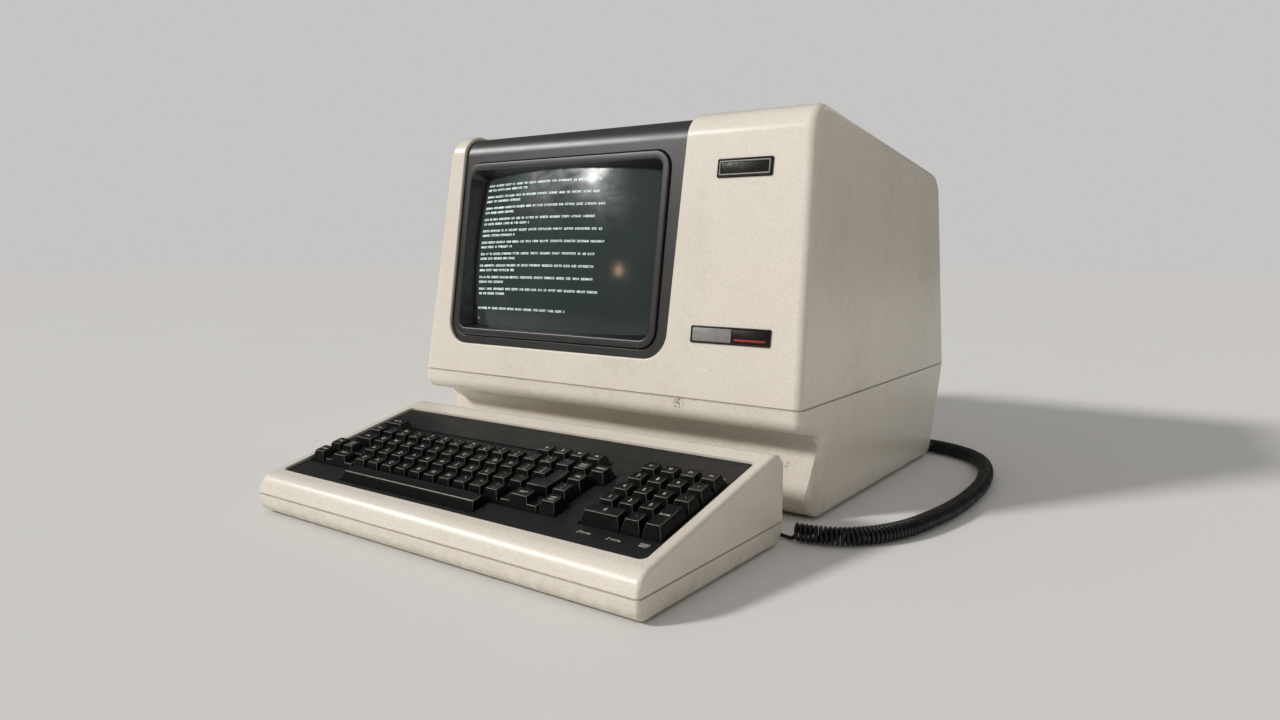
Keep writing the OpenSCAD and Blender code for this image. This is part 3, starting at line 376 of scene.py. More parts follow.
class Shader:
    """Builds one material: a colour, layers of other colours over it, and the finish."""

    def __init__(self, name, colour):
        self.material = bpy.data.materials.new(name)
        self.material.use_nodes = True
        self.tree = self.material.node_tree
        self.place = self.add("TexCoord", "Object")
        self.colour = linear(*colour)

    def add(self, kind, output, inputs=None, **settings):
        return add_node(self.tree, kind, output, inputs, **settings)

    def noise(self, size, detail, roughness=0.55, stretch=(1, 1, 1), distortion=0):
        """Noise whose grain is about size millimetres, stretched along the axes."""
        place = self.add("Mapping", 0, {"Vector": self.place, "Scale": [1 / s for s in stretch]})
        return self.add("TexNoise", "Fac", {"Vector": place, "Scale": 1 / (size * MM), "Detail": detail,
                                            "Roughness": roughness, "Distortion": distortion})

    def ramp(self, value, low, high, start=0, end=1):
        """Maps low..high to start..end, clamped."""
        return self.add("MapRange", "Result", {"Value": value, "From Min": low, "From Max": high,
                                               "To Min": start, "To Max": end})

    def patches(self, size, detail, roughness, low, high, start=0, end=1, **shape):
        """Noise whose values low..high are mapped to start..end."""
        return self.ramp(self.noise(size, detail, roughness, **shape), low, high, start, end)

    def times(self, value, *others):
        for other in others:
            value = self.add("Math", 0, {0: value, 1: other}, operation="MULTIPLY")
        return value

    def height(self):
        """Height over the floor, in metres."""
        return self.add("SeparateXYZ", "Z", {0: self.place})

    def near(self, place, reach, core=0):
        """1 within core of a place, fading to 0 at reach; all in millimetres."""
        distance = self.add("VectorMath", "Value", {0: self.place, 1: [x * MM for x in place]},
                            operation="DISTANCE")
        return self.ramp(distance, reach * MM, core * MM)

    def over(self, share, colour):
        """Lays another colour over what is there."""
        self.colour = self.add("Mix", 2, {0: share, 6: self.colour, 7: linear(*colour)}, data_type="RGBA")

    def finish(self, rough, relief=None, **fixed):
        """Sets the shader up.

        rough is a constant or an output, or the size, detail, low and high of a roughness that varies.
        relief is a height with its depth in millimetres and its strength; the height is an output of 0 to 1,
        or the size of a plain grain.
        """
        if isinstance(rough, tuple):
            size, detail, low, high = rough
            rough = self.patches(size, detail, 0.55, 0.3, 0.7, low, high)
        inputs = {"Base Color": self.colour, "Roughness": rough}
        if relief:
            grain, depth, strength = relief
            if not isinstance(grain, bpy.types.NodeSocket):
                grain = self.noise(grain, 2, 0.5)
            inputs["Normal"] = self.add("Bump", 0, {"Height": grain, "Distance": depth * MM,
                                                    "Strength": strength})
        inputs.update({name.replace("_", " "): value for name, value in fixed.items()})
        for name, value in inputs.items():
            connect(self.tree, self.tree.nodes["Principled BSDF"].inputs[name], value)
        return self.material


def surface(name, colour, layers, rough, relief=None, **fixed):
    """A material of a colour under layers, each of them the settings of its patches and their colour."""
    s = Shader(name, colour)
    for patches, other in layers:
        s.over(s.patches(*patches), other)
    return s.finish(rough, relief, **fixed)


# ---- materials ----

SCUFFS = [((114.7, -83, 105), 7), ((206.4, -41, 50), 4.5)]


def cream_plastic():
    """Painted, lightly textured housing plastic that has yellowed a little."""
    s = Shader("cream_plastic", (226, 219, 207))
    s.over(s.patches(110, 3, 0.55, 0.35, 0.7), (221, 214, 201))
    s.over(s.patches(1.5, 2, 0.6, 0.4, 0.7, 0, 0.3), (172, 163, 144))
    grime = s.patches(70, 4, 0.6, 0.5, 0.75, stretch=(1, 1, 2))
    s.over(s.times(grime, s.patches(12, 4, 0.6, 0.35, 0.7), 0.24), (158, 145, 118))
    scuffs = s.patches(34, 2, 0.55, 0.74, 0.78)
    s.over(s.times(scuffs, s.patches(1.6, 4, 0.7, 0.64, 0.67, stretch=(4, 1, 1)), 0.45), (112, 101, 84))
    # darker towards the bottom, within about 22 mm of the floor, in patches
    low = s.ramp(s.height(), 0.003, 0.022, 1, 0)
    s.over(s.times(low, s.patches(9, 4, 0.55, 0.35, 0.6, 0.3, 1), 0.4), (138, 125, 100))
    for place, size in SCUFFS:
        chip = s.times(s.near(place, size, size / 2), s.patches(2.2, 2, 0.5, 0.53, 0.57), 0.85)
        s.over(chip, (84, 74, 60))
    return s.finish((60, 3, 0.25, 0.27), (1.4, 0.05, 0.4))


def black_plastic(name, dark=(22, 21, 20), pale=(31, 29, 28), rough=(0.28, 0.32), **fixed):
    """Moulded plastic with a fine grain and a little dust."""
    layers = [((30, 5, 0.65, 0.38, 0.66), pale), ((2, 2, 0.6, 0.5, 0.75, 0, 0.12), (70, 66, 62))]
    return surface(name, dark, layers, (24, 3, *rough), (2, 0.02, 0.4), **fixed)


def deck_plastic():
    """The keyboard's matt dark panel, with dust in its grain."""
    layers = [((22, 4, 0.6, 0.45, 0.75), (33, 32, 31)), ((1.6, 2, 0.6, 0.6, 0.75, 0, 0.2), (80, 77, 71))]
    return surface("deck_plastic", (24, 24, 24), layers, (9, 4, 0.42, 0.52), (1.2, 0.03, 0.5),
                   Specular_IOR_Level=0.35)


def key_plastic():
    """Keycaps: near black, greasy tops; the pale grey on the rims, where a vertex attribute says, is partly
    rubbed wear and partly a painted highlight.
    """
    s = Shader("key_plastic", (9, 9, 9))
    s.over(s.patches(7, 5, 0.7, 0.35, 0.7), (15, 15, 14))
    # pale grey on the cap rims and upright front corners: rubbed wear with a painted highlight
    wear_and_highlight = s.ramp(s.add("Attribute", "Fac", attribute_name="wear_and_highlight"), 0.4, 0.9)
    s.over(s.times(wear_and_highlight, s.patches(4, 3, 0.55, 0.35, 0.6, 0.6, 1), 0.8), (168, 162, 150))
    s.over(s.patches(5, 5, 0.7, 0.5, 0.8, 0, 0.06), (96, 90, 80))
    return s.finish((9, 2, 0.3, 0.36), (0.6, 0.015, 0.3), Specular_IOR_Level=0.22)


def legend_ink():
    return surface("legend_ink", (232, 228, 218), [((0.7, 3, 0.7, 0.35, 0.65), (196, 191, 180))],
                   (0.9, 3, 0.4, 0.55))


# Painted glare of reflected light on the glass: the place on the faceplate, the reach and the share of each
# pale hazy patch
GLARE_SPOTS = [((38, 80, -6), 52, 0.8), ((-20, 88, -6), 78, 0.55), ((62, 52, -5), 46, 0.25)]


def screen_glass():
    """The faceplate: dark grey-green glass with pale smears and dust, and a painted glare of hazy reflected
    light near its top.
    """
    s = Shader("screen_glass", (47, 56, 55))
    s.over(s.patches(120, 2, 0.55, 0.35, 0.65), (55, 64, 62))
    smears = s.patches(26, 6, 0.6, 0.52, 0.8, stretch=(1, 1, 1.6), distortion=0.9)
    s.over(s.times(s.patches(0.9, 4, 0.8, 0.6, 0.78), smears, 0.35), (150, 158, 156))
    # painted reflection: cloudy pale glare laid over the glass round the places listed above
    glare_clouds = s.patches(20, 6, 0.62, 0.3, 0.72, stretch=(1.6, 1, 1), distortion=1.2)
    for place, reach, share in GLARE_SPOTS:
        near = s.near(SCREEN @ Vector(place), reach)
        s.over(s.times(near, near, glare_clouds, share), (222, 226, 224))
    fine = s.patches(2, 5, 0.55, 0.3, 0.7, 0, 0.04)
    rough = s.add("Math", 0, {0: s.ramp(smears, 0, 1, 0.09, 0.22), 1: fine}, operation="ADD")
    return s.finish(rough, (s.noise(1.5, 4, 0.7), 0.01, 0.3), IOR=1.5, Specular_IOR_Level=0.4)


def screen_text():
    """Lit phosphor, a little uneven."""
    s = Shader("screen_text", (188, 206, 207))
    s.over(s.patches(9, 3, 0.55, 0.3, 0.7), (222, 233, 232))
    return s.finish(0.4, Emission_Color=s.colour, Emission_Strength=0.95)


def metal(name, pale, dark, rough=(0.25, 0.42), metallic=1):
    """Brushed or plated metal, with its grain along X."""
    s = Shader(name, pale)
    brushed = s.noise(0.5, 3, 0.7, (12, 1, 1))
    s.over(s.ramp(brushed, 0.3, 0.7), dark)
    s.over(s.patches(7, 5, 0.7, 0.5, 0.75, 0, 0.35), (82, 76, 66))
    return s.finish((5, 4, *rough), (brushed, 0.02, 0.3), Metallic=metallic)


def circuit_board():
    """Green solder mask over the pattern of the tracks."""
    s = Shader("circuit_board", (22, 74, 40))
    tracks = s.patches(3, 1, 0.4, 0.5, 0.53, stretch=(1, 9, 9))
    s.over(tracks, (52, 116, 58))
    return s.finish((4, 3, 0.35, 0.5), (tracks, 0.03, 0.6))


def rubber(name, dark=(20, 19, 18), pale=(38, 36, 34), rough=(0.42, 0.6)):
    layers = [((8, 5, 0.7, 0.35, 0.7), pale), ((2, 2, 0.6, 0.6, 0.78, 0, 0.15), (90, 86, 78))]
    return surface(name, dark, layers, (12, 3, *rough), (1.5, 0.02, 0.4))


def red_plastic(name, rough, **fixed):
    return surface(name, (96, 14, 12), [((1.5, 3, 0.55, 0.3, 0.7), (132, 24, 18))], rough, **fixed)


CREAM, BLACK, DECK = cream_plastic(), black_plastic("black_plastic"), deck_plastic()
KEY, INK = key_plastic(), legend_ink()
SURROUND = black_plastic("surround_plastic", (21, 20, 19), (29, 27, 26), (0.36, 0.4),
                         Specular_IOR_Level=1, IOR=1.58)
GLASS, TEXT = screen_glass(), screen_text()
STEEL = metal("steel", (176, 178, 180), (140, 141, 143))
CHROME = metal("badge_metal", (160, 159, 156), (118, 117, 114), (0.3, 0.42))
DARK_METAL = metal("badge_dark", (74, 73, 72), (46, 45, 44), (0.3, 0.5))
COPPER = metal("copper", (196, 118, 72), (140, 78, 46))
SILVER = metal("badge_silver", (158, 157, 153), (132, 131, 128), (0.35, 0.45), 0.25)
BADGE_RED = black_plastic("badge_red", (158, 38, 30), (186, 58, 46))
BOARD, RUBBER = circuit_board(), rubber("rubber")
CORD = rubber("cord_rubber", (13, 12, 12), (22, 21, 20), (0.28, 0.34))
LAMP_DARK = red_plastic("red_plastic", (1, 3, 0.25, 0.4))
LAMP_LIT = red_plastic("lamp_lit", 0.25, Emission_Color=linear(255, 48, 40), Emission_Strength=3)

# ---- the cord ----

LEAD_ROUTE = [(188, -97, 14), (188.3, -91, 13.2), (191, -84.5, 10.5), (197, -80.5, 7), (206, -80.5, 4.5),
              (214, -85.5, 3.2), (222, -92, 3), (230, -97.5, 3)]
COIL_PLAN = [(241, -99), (268, -94), (290, -82), (308, -60), (322, -27), (332, 22), (336, 60), (337, 102),
             (335, 145), (329, 186), (321, 218), (309, 248), (292, 271), (270, 287), (243, 298), (214, 302)]
COIL_ROUTE = [(x, y, COIL_D / 2 + 0.5) for x, y in COIL_PLAN]
PLUG_ROUTE = [(204, 304, 10), (195, 305, 15), (187, 306, 24), (180, 307, 31), (173, 307, 34)]
COIL_PITCH, COIL_TURN_R, TURN_POINTS = 4.1, (COIL_D - CORD_D) / 2, 16
START_RUN, END_RUN = 8, 16
LEAD_STEP, CORD_SIDES = 1.5, 8


def curve_through(points, step):
    """Points about step apart on a smooth curve through the given ones."""
    p = [Vector(q) for q in points]
    p = [2 * p[0] - p[1]] + p + [2 * p[-1] - p[-2]]
    curve = []
    for a, b, c, d in zip(p, p[1:], p[2:], p[3:]):
        for t in steps(0, 1, math.ceil((c - b).length / step))[:-1]:
            curve.append(0.5 * (2 * b + (c - a) * t + (2 * a - 5 * b + 4 * c - d) * t ** 2
                                + (3 * b - a - 3 * c + d) * t ** 3))
    return curve + [p[-2]]


def path_length(path):
    return sum((b - a).length for a, b in zip(path, path[1:]))


def ahead_at(path, i):
    return (path[min(i + 1, len(path) - 1)] - path[max(i - 1, 0)]).normalized()


def coiled_path():
    """The wire's centreline: a helix round the coil's middle line that starts at its underside."""
    axis = curve_through(COIL_ROUTE, COIL_PITCH / TURN_POINTS)
    total, travelled, phase, wire = path_length(axis), 0, -math.pi / 2, []
    for i, centre in enumerate(axis):
        ahead = ahead_at(axis, i)
        side = Vector((0, 0, 1)).cross(ahead).normalized()
        up = ahead.cross(side)
        if i:
            step = (centre - axis[i - 1]).length
            travelled += step
            phase += 2 * math.pi * step / COIL_PITCH * smoothstep(travelled / START_RUN)
        reach = COIL_TURN_R * smoothstep((total - travelled) / END_RUN)
        wire.append(centre + reach * (math.cos(phase) * side + math.sin(phase) * up))
    return wire


def tube(path, radius, sides):
    """A round tube along a path, without twist."""
    ahead = (path[1] - path[0]).normalized()
    side = ahead.orthogonal().normalized()
    rings = []
    for i, centre in enumerate(path):
        new = ahead_at(path, i)
        side = (ahead.rotation_difference(new) @ side).normalized()
        ahead = new
        other = ahead.cross(side)
        rings.append([centre + radius * (math.cos(t) * side + math.sin(t) * other)
                      for t in steps(0, 2 * math.pi, sides)[:-1]])
    return loft(rings)


def make_cord():
    coil_start = (*COIL_ROUTE[0][:2], COIL_ROUTE[0][2] - COIL_TURN_R)
    lead = curve_through(LEAD_ROUTE + [coil_start], LEAD_STEP)
    plug_lead = curve_through([COIL_ROUTE[-1]] + PLUG_ROUTE, LEAD_STEP)
    path = lead[:-1] + coiled_path()[:-1] + plug_lead
    cord = new_object("curly_cord", tube(path, CORD_D / 2, CORD_SIDES), [CORD])
    cord.data.shade_smooth()
    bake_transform(cord)
    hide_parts("keyboard_lead", "coiled_cord", "plug_lead")


make_cord()

# ---- monitor housing ----


def front_at(z):
    return (z - PARTING_Z) * math.tan(FRONT_LEAN)


def rear_at(z):
    return CASE_DEPTH - (z - PARTING_Z) * math.tan(REAR_LEAN)


def half_w_at(z):
    return CASE_W / 2 - (z - PARTING_Z) * math.tan(SIDE_DRAFT)


TOP_FRONT = Vector((front_at(CASE_H), CASE_H))
TOP_REAR = meet(TOP_FRONT, Vector((1, -math.tan(TOP_FALL))), Vector((CASE_DEPTH, PARTING_Z)),
                Vector((-math.tan(REAR_LEAN), 1)))


def side_points(view, d):
    """The points of a side view [(y, z, radius)] that starts at the housing's front, moved in by d."""
    return [Vector((p.x + FRONT_Y, p.y)) for p in rounded(inset(view, d))]


def upper_view(z0, d=0):
    """The side view (y, z) of the top cover from height z0 up, moved in by d."""
    return side_points([(front_at(z0), z0, 0), (rear_at(z0), z0, 0), (*TOP_REAR, TOP_EDGE_R),
                        (*TOP_FRONT, TOP_EDGE_R)], d)


def housing_block(z0, d, edge_r):
    """The top cover's outer or inner form, with its side edges rounded."""
    bm = along_x(upper_view(z0, d), lambda z: half_w_at(z) - d)
    low = min(v.co.z for v in bm.verts)
    rims = [e for e in bm.edges
            if abs(e.verts[0].co.x) > 1 and e.verts[0].co.x * e.verts[1].co.x > 0
            and min(v.co.z for v in e.verts) < CASE_H and not all(v.co.z < low + 0.01 for v in e.verts)]
    round_off(bm, rims, edge_r)
    return bm


def band_prism(grow):
    """Everything behind the surround's outline, as far back as the surround runs over the top."""
    band_top = (CASE_H - PARTING_Z) / math.cos(FRONT_LEAN) + BAND_OVER
    corners = [(BAND_LEFT, BAND_FOOT, BAND_R), (BAND_RIGHT, BAND_FOOT, BAND_R),
               (BAND_RIGHT + BAND_FLARE, band_top, 0), (BAND_LEFT, band_top, 0)]
    block = new_object("tool", on_plane(rounded(inset(corners, -grow)), FRONT, -CASE_DEPTH, WALL * 10))
    reach = FRONT_Y + front_at(CASE_H) + BAND_OVER + grow
    return boolean(block, box(None, (-CASE_W, -CASE_W, 0), (CASE_W, reach, 2 * CASE_H)), "INTERSECT")


VENT_REACH = 60


def vent_cutters():
    """Upright slots below the rounding of the rear edge."""
    bm = bmesh.new()
    top, rear = TOP_REAR.y - TOP_EDGE_R, FRONT_Y + CASE_DEPTH
    for i in range(VENTS):
        x = (i - (VENTS - 1) / 2) * 3 * VENT_W
        box(bm, (x - VENT_W / 2, rear - VENT_REACH, top - VENT_H), (x + VENT_W / 2, rear + VENT_REACH, top))
    return bm


COVER_EDGE_R, LIP_H, ON_SURFACE = 1.8, 6, 0.02


def make_top_cover():
    """The upper shell; its edges that the surround's cut leaves at the front get a wider rounding."""
    cover = new_object("housing_top", housing_block(PARTING_Z, 0, CORNER_R), [CREAM])
    form = read_mesh(cover)
    outside = BVHTree.FromBMesh(form)
    form.free()
    boolean(cover, housing_block(PARTING_Z - 3 * WALL, WALL, CORNER_R - WALL))
    boolean(cover, band_prism(0))
    boolean(cover, vent_cutters())
    tidy_faces(cover)
    rear, lip = (FRONT_Y + CASE_DEPTH / 2) * MM, (PARTING_Z + LIP_H) * MM
    bm = read_mesh(cover)
    chosen = [e for e in bm.edges if is_sharp(e) and all(
        outside.find_nearest(v.co)[3] < ON_SURFACE * MM and v.co.y < rear and v.co.z > lip for v in e.verts)]
    round_edges(bm, chosen, COVER_EDGE_R * MM, 4)
    write_mesh(bm, cover)
    soften(cover, 0.7)
    mount(cover, "monitor", "cream_plastic", "top_cover")


def lower_views():
    """The side views of the lower housing: its outside, and one open at the top for its hollow."""
    def base_front(z):
        return BASE_SETBACK + (z - FOOT_H) * math.tan(BASE_LEAN)

    def base_rear(z):
        return CASE_DEPTH - (PARTING_Z - z) * math.tan(BASE_REAR_LEAN)

    cove = meet(Vector((0, CHIN_Z)), Vector((math.cos(CHIN_FALL), -math.sin(CHIN_FALL))),
                Vector((base_front(FOOT_H), FOOT_H)), Vector((math.sin(BASE_LEAN), math.cos(BASE_LEAN))))
    low = [(base_front(FOOT_H), FOOT_H, BASE_EDGE_R), (base_rear(FOOT_H), FOOT_H, BASE_EDGE_R)]
    chin = [(0, CHIN_Z, CHIN_R), (*cove, COVE_R)]
    outside, hollow = (low + [(base_rear(z), z, 0), (0, z, 0)] + chin for z in (PARTING_Z, 2 * PARTING_Z))
    return outside, hollow, cove


def lower_form(view, cove, d):
    """The lower housing's form: its side view, its front view and its two plans in one."""
    half, far = CASE_W / 2, 2 * CASE_DEPTH
    side = along_x(side_points(view, d), half - d)
    rims = [e for e in side.edges if abs(e.verts[0].co.x - e.verts[1].co.x) < 1
            and min(v.co.z for v in e.verts) < PARTING_Z - 1]
    round_off(side, rims, BASE_SIDE_R - d)
    form = new_object("base_form", side)
    front = rounded(inset(across(half, FOOT_H, 3 * PARTING_Z, BASE_EDGE_R / 2, 0), d))
    boolean(form, prism(front, lambda p, end: (p.x, (2 * end - 1) * far, p.y)), "INTERSECT")
    upper = rounded(inset(across(half, 0, CASE_DEPTH, CORNER_R), d))
    lower = rounded(inset(across(half, BASE_SETBACK, CASE_DEPTH, BASE_CORNER_R, CORNER_R), d))
    at = Matrix.Translation((0, FRONT_Y, 0))
    plan = new_object("plan", on_plane(upper, at, cove.y - d, far))
    boolean(plan, on_plane(lower, at, -1, cove.y), "UNION")
    return boolean(form, plan, "INTERSECT")


def slab(low, high):
    far = 2 * CASE_DEPTH
    return box(None, (-far, -far, low), (far, far, high))


def groove(case, core, low, high):
    """Cuts a groove round a housing, between two heights and down to a core."""
    boolean(case, boolean(new_object("tool", slab(low, high)), core))


def make_base_shell():
    outside, hollow, cove = lower_views()
    base = lower_form(outside, cove, 0)
    base.name = "housing_base"
    boolean(base, lower_form(hollow, cove, WALL))
    groove(base, lower_form(hollow, cove, GROOVE_DEEP), PARTING_Z - GROOVE, PARTING_Z + GROOVE)
    rear = Matrix.Translation((0, FRONT_Y + CASE_DEPTH, PARTING_Z)) @ Matrix.Rotation(
        -math.pi / 2 - BASE_REAR_LEAN, 4, "X")
    opening = across(PANEL_W / 2, PANEL_DOWN - PANEL_H / 2, PANEL_DOWN + PANEL_H / 2, PANEL_R)
    boolean(base, on_plane(rounded(opening), rear, -3 * WALL, 3 * WALL))
    tidy_faces(base)
    base.data.materials.append(CREAM)
    soften(base, 0.8)
    mount(base, "monitor", "cream_plastic", "base_shell")


make_top_cover()
make_base_shell()

# ---- screen ----

BAND_FACE = WALL
FUNNEL_BACK = [(0.5, 0), (1, 0), (1, 1.6), (0.5, 2.5)]
FACE_SHARES = (0.02, 0.12, 0.25, 0.4, 0.55, 0.7, 0.82, 0.92, 1)
CONE_STEPS, CONE_SWELL, NECK_TIP = 8, 1.2, 4
HOLE_GAP, GLASS_OVERLAP = 0.8, 0.1


def opening_ring(offset):
    """Points (x, y) round the picture opening, offset outwards."""
    return ring(OPENING_W / 2 + offset, OPENING_H / 2 + offset, OPENING_R + offset, 10, 28)


def face_depth(x, y):
    """Depth of the faceplate's bulge behind the housing's front face."""
    return FACE_IN + FACE_R - math.sqrt(FACE_R ** 2 - x * x - y * y)


def make_surround():
    """The black panel that runs down the front and over the top edge."""
    band = new_object("screen_surround_panel", along_x(upper_view(PARTING_Z, BAND_FACE), CASE_W), [SURROUND])
    boolean(band, along_x(upper_view(PARTING_Z - 2 * WALL, BAND_FACE + BAND_T), 2 * CASE_W))
    boolean(band, band_prism(BAND_LIP), "INTERSECT")
    half_h = OPENING_H / 2 + RING_W
    hole = across(OPENING_W / 2 + RING_W, -half_h, half_h, OPENING_R + RING_W)
    boolean(band, on_plane(rounded(inset(hole, -HOLE_GAP)), SCREEN, -CASE_DEPTH, CASE_DEPTH))
    tidy_faces(band)
    soften(band, 0.8, 3)
    mount(band, "monitor", "black_plastic", "screen_surround")


def funnel_depth(i, top):
    """How far behind the housing's front face the funnel meets the faceplate, at point i of its ring."""
    depth = 10
    for _ in range(6):
        p = opening_ring(-FUNNEL_LEAN * (depth + top))[i]
        depth = face_depth(p.x, p.y) - GLASS_OVERLAP
    return depth


def make_bezel():
    """The raised ring and the funnel whose rear edge follows the faceplate."""
    top, back = RING_PROUD - BAND_FACE, -BAND_FACE - BAND_T
    outer = Vector((RING_W - RING_OUTER_R, top - RING_OUTER_R))
    inner = Vector((RING_INNER_R, top - RING_INNER_R))
    arc = steps(0, math.pi / 2, 5)
    section = [(4, back), (RING_W, back)] + [outer + polar(RING_OUTER_R, t) for t in arc]
    section += [inner + polar(RING_INNER_R, t + math.pi / 2) for t in arc]
    rings = [[SCREEN @ Vector((*p, z)) for p in opening_ring(offset)] for offset, z in section]
    depths = [funnel_depth(i, top) for i in range(len(rings[0]))]
    for share, thickness in FUNNEL_BACK:
        row = []
        for i, depth in enumerate(depths):
            at = -top + RING_INNER_R + share * (depth + top - RING_INNER_R)
            p = opening_ring(-FUNNEL_LEAN * (at + top) + thickness)[i]
            row.append(SCREEN @ Vector((*p, -at)))
        rings.append(row)
    mount(lofted("bezel_ring", rings, SURROUND, 50, False), "monitor", "black_plastic", "screen_bezel")


def tube_ring(t, inward=0):
    """Points round the faceplate's outline, drawn in by the share t and a margin."""
    r = max(0.5, (TUBE_CORNER_R - inward) * t)
    return ring((TUBE_W / 2 - inward) * t, (TUBE_H / 2 - inward) * t, r, 8, 10)


def on_face(p, behind=0):
    return Vector((p.x, p.y, -face_depth(p.x, p.y) - behind))


def make_picture_tube():
    """Faceplate, skirt, funnel and neck of the picture tube, as one glass body."""
    edge = tube_ring(1)
    skirt_back = -FACE_IN - SKIRT
    neck_back = skirt_back - CONE_LEN - NECK_LEN
    rings = [[on_face(p) for p in tube_ring(t, 2)] for t in FACE_SHARES]
    rings.append([on_face(p, 2) for p in edge])
    rings.append([Vector((*p, skirt_back)) for p in edge])
    for t in steps(0, 1, CONE_STEPS)[1:]:
        share = 1 - (1 - smoothstep(t)) ** CONE_SWELL
        z = skirt_back - CONE_LEN * t
        rings.append([Vector((*p.lerp(p.normalized() * NECK_R, share), z)) for p in edge])
    for r, z in ((NECK_R, neck_back + NECK_TIP), (NECK_R - NECK_TIP, neck_back)):
        rings.append([Vector((*(p.normalized() * r), z)) for p in edge])
    glass = lofted("picture_tube_glass", [[SCREEN @ p for p in r] for r in rings], GLASS, 60)
    mount(glass, "monitor", "screen_glass", "picture_tube")


# Each character is seven rows of five dots; the dots of a row are the bits of a number
GLYPHS = {
    "0": (14, 17, 19, 21, 25, 17, 14), "1": (4, 12, 4, 4, 4, 4, 14), "2": (14, 17, 1, 6, 8, 16, 31),
    "3": (14, 17, 1, 6, 1, 17, 14), "4": (2, 6, 10, 18, 31, 2, 2), "5": (31, 16, 30, 1, 1, 17, 14),
    "6": (6, 8, 16, 30, 17, 17, 14), "7": (31, 1, 2, 4, 8, 8, 8), "8": (14, 17, 17, 14, 17, 17, 14),
    "9": (14, 17, 17, 15, 1, 2, 12), "A": (14, 17, 17, 31, 17, 17, 17), "B": (30, 17, 17, 30, 17, 17, 30),
    "C": (14, 17, 16, 16, 16, 17, 14), "D": (30, 17, 17, 17, 17, 17, 30), "E": (31, 16, 16, 30, 16, 16, 31),
    "F": (31, 16, 16, 30, 16, 16, 16),
}
TEXT_LEFT, CHAR_STEP = -118, 2.14
DOT_W, DOT_H, DOT_T, DOT_FILL = 0.3, 0.34, 0.12, 0.94
PAIR_TOP, PAIR_STEP, LINE_STEP = 75.2, 13.1, 5.2
LONG_ENDS = (53, 52, 63, 50, 61, 64, 57, 55, 54, 61)
SHORT_ENDS = (-51, -60, -65, -39, -62, -63, -56, -58, -73, -72)
LAST_LINE, LAST_END = -64.4, 19.6
CURSOR = (-118, -77.6, -116.3, -77)


def screen_line(bm, y, end):
    """One row of generic characters, in groups, from the left margin to end."""
    x, group = TEXT_LEFT, random.randint(3, 8)
    while x < end:
        if group == 0:
            group = random.randint(2, 9)
        else:
            group -= 1
            for r, bits in enumerate(GLYPHS[random.choice(sorted(GLYPHS))]):
                dots(bm, x, y - r * DOT_H, bits)
        x += CHAR_STEP


def dots(bm, x, y, bits):
    """The lit runs of one row of a character, as thin plates on the glass."""
    c = 0
    while c < 5:
        run = 0
        while c + run < 5 and bits >> (4 - c - run) & 1:
            run += 1
        if run:
            plate(bm, x + c * DOT_W, y - DOT_H * DOT_FILL, x + (c + run) * DOT_W, y)
        c += max(run, 1)


def plate(bm, x0, y0, x1, y1):
    """A thin plate that lies on the faceplate's bulge."""
    z = -face_depth((x0 + x1) / 2, (y0 + y1) / 2)
    box(bm, (x0, y0, z - DOT_T), (x1, y1, z + DOT_T), SCREEN)


def make_screen_text():
    """Pairs of a long and a short row, a last row and the cursor."""
    bm = bmesh.new()
    for i, (long_end, short_end) in enumerate(zip(LONG_ENDS, SHORT_ENDS)):
        y = PAIR_TOP - i * PAIR_STEP
        screen_line(bm, y, long_end)
        screen_line(bm, y - LINE_STEP, short_end)
    screen_line(bm, LAST_LINE, LAST_END)
    plate(bm, *CURSOR)
    mount(new_object("screen_characters", bm, [TEXT]), "monitor", "screen_glass")


make_surround()
make_bezel()
make_picture_tube()
make_screen_text()

# ---- badges ----

# Middle across and up the front face, width and height
UPPER_BADGE = (164.5, 214.8, 57, 17.5)
LOWER_BADGE = (164.5, 60.5, 83, 16)
# Sections are the distance in from the outline and the height over the front face
FRAME_SECTION = [(0, -0.5), (0, 1.2), (0.25, 1.7), (0.8, 2), (1.2, 2), (1.5, 1.7), (1.6, 0.7), (1.6, -0.5)]
RIM_SECTION = [(2, 0.5), (2, 1.6), (2.3, 1.9), (3.1, 1.9), (3.4, 1.6), (3.4, 0.5)]
UPPER_MARGIN, LOWER_MARGIN, SEAM_SHARE, SEAM_GAP = 1.6, 1.7, 0.52, 0.2
LINE_END, LINE_LOW, LINE_W = 3, 2, 1.8


def badge_rings(place, section, r, least_r, corner_n=3):
    """A section carried round a badge's outline on the front face."""
    x, s, w, h = place
    at = FRONT @ Matrix.Translation((x, s, 0))
    return [[at @ Vector((*p, z)) for p in ring(w / 2 - d, h / 2 - d, max(least_r, r - d), corner_n, 2)]
            for d, z in section]


def badge_frame(name, place):
    """A thin dark frame with rounded edges."""
    rings = badge_rings(place, FRAME_SECTION, 1.5, 0.3, 4)
    mount(lofted(name + "_frame", rings, DARK_METAL, 60, False), "monitor", "black_plastic", name)


def recess(place, margin):
    """The left, right, low and high ends of the space in a badge's frame."""
    x, s, w, h = place
    return x - w / 2 + margin, x + w / 2 - margin, s - h / 2 + margin, s + h / 2 - margin


def badge_plate(name, x0, x1, s0, s1, top, material):
    """A plate with rounded edges in the badge's recess."""
    section = [(0, 0.2), (0, top - 0.3), (0.1, top - 0.1), (0.35, top)]
    rings = badge_rings(((x0 + x1) / 2, (s0 + s1) / 2, x1 - x0, s1 - s0), section, 0.6, 0.2)
    mount(lofted(name, rings, material, 50), "monitor", "badge_metal")


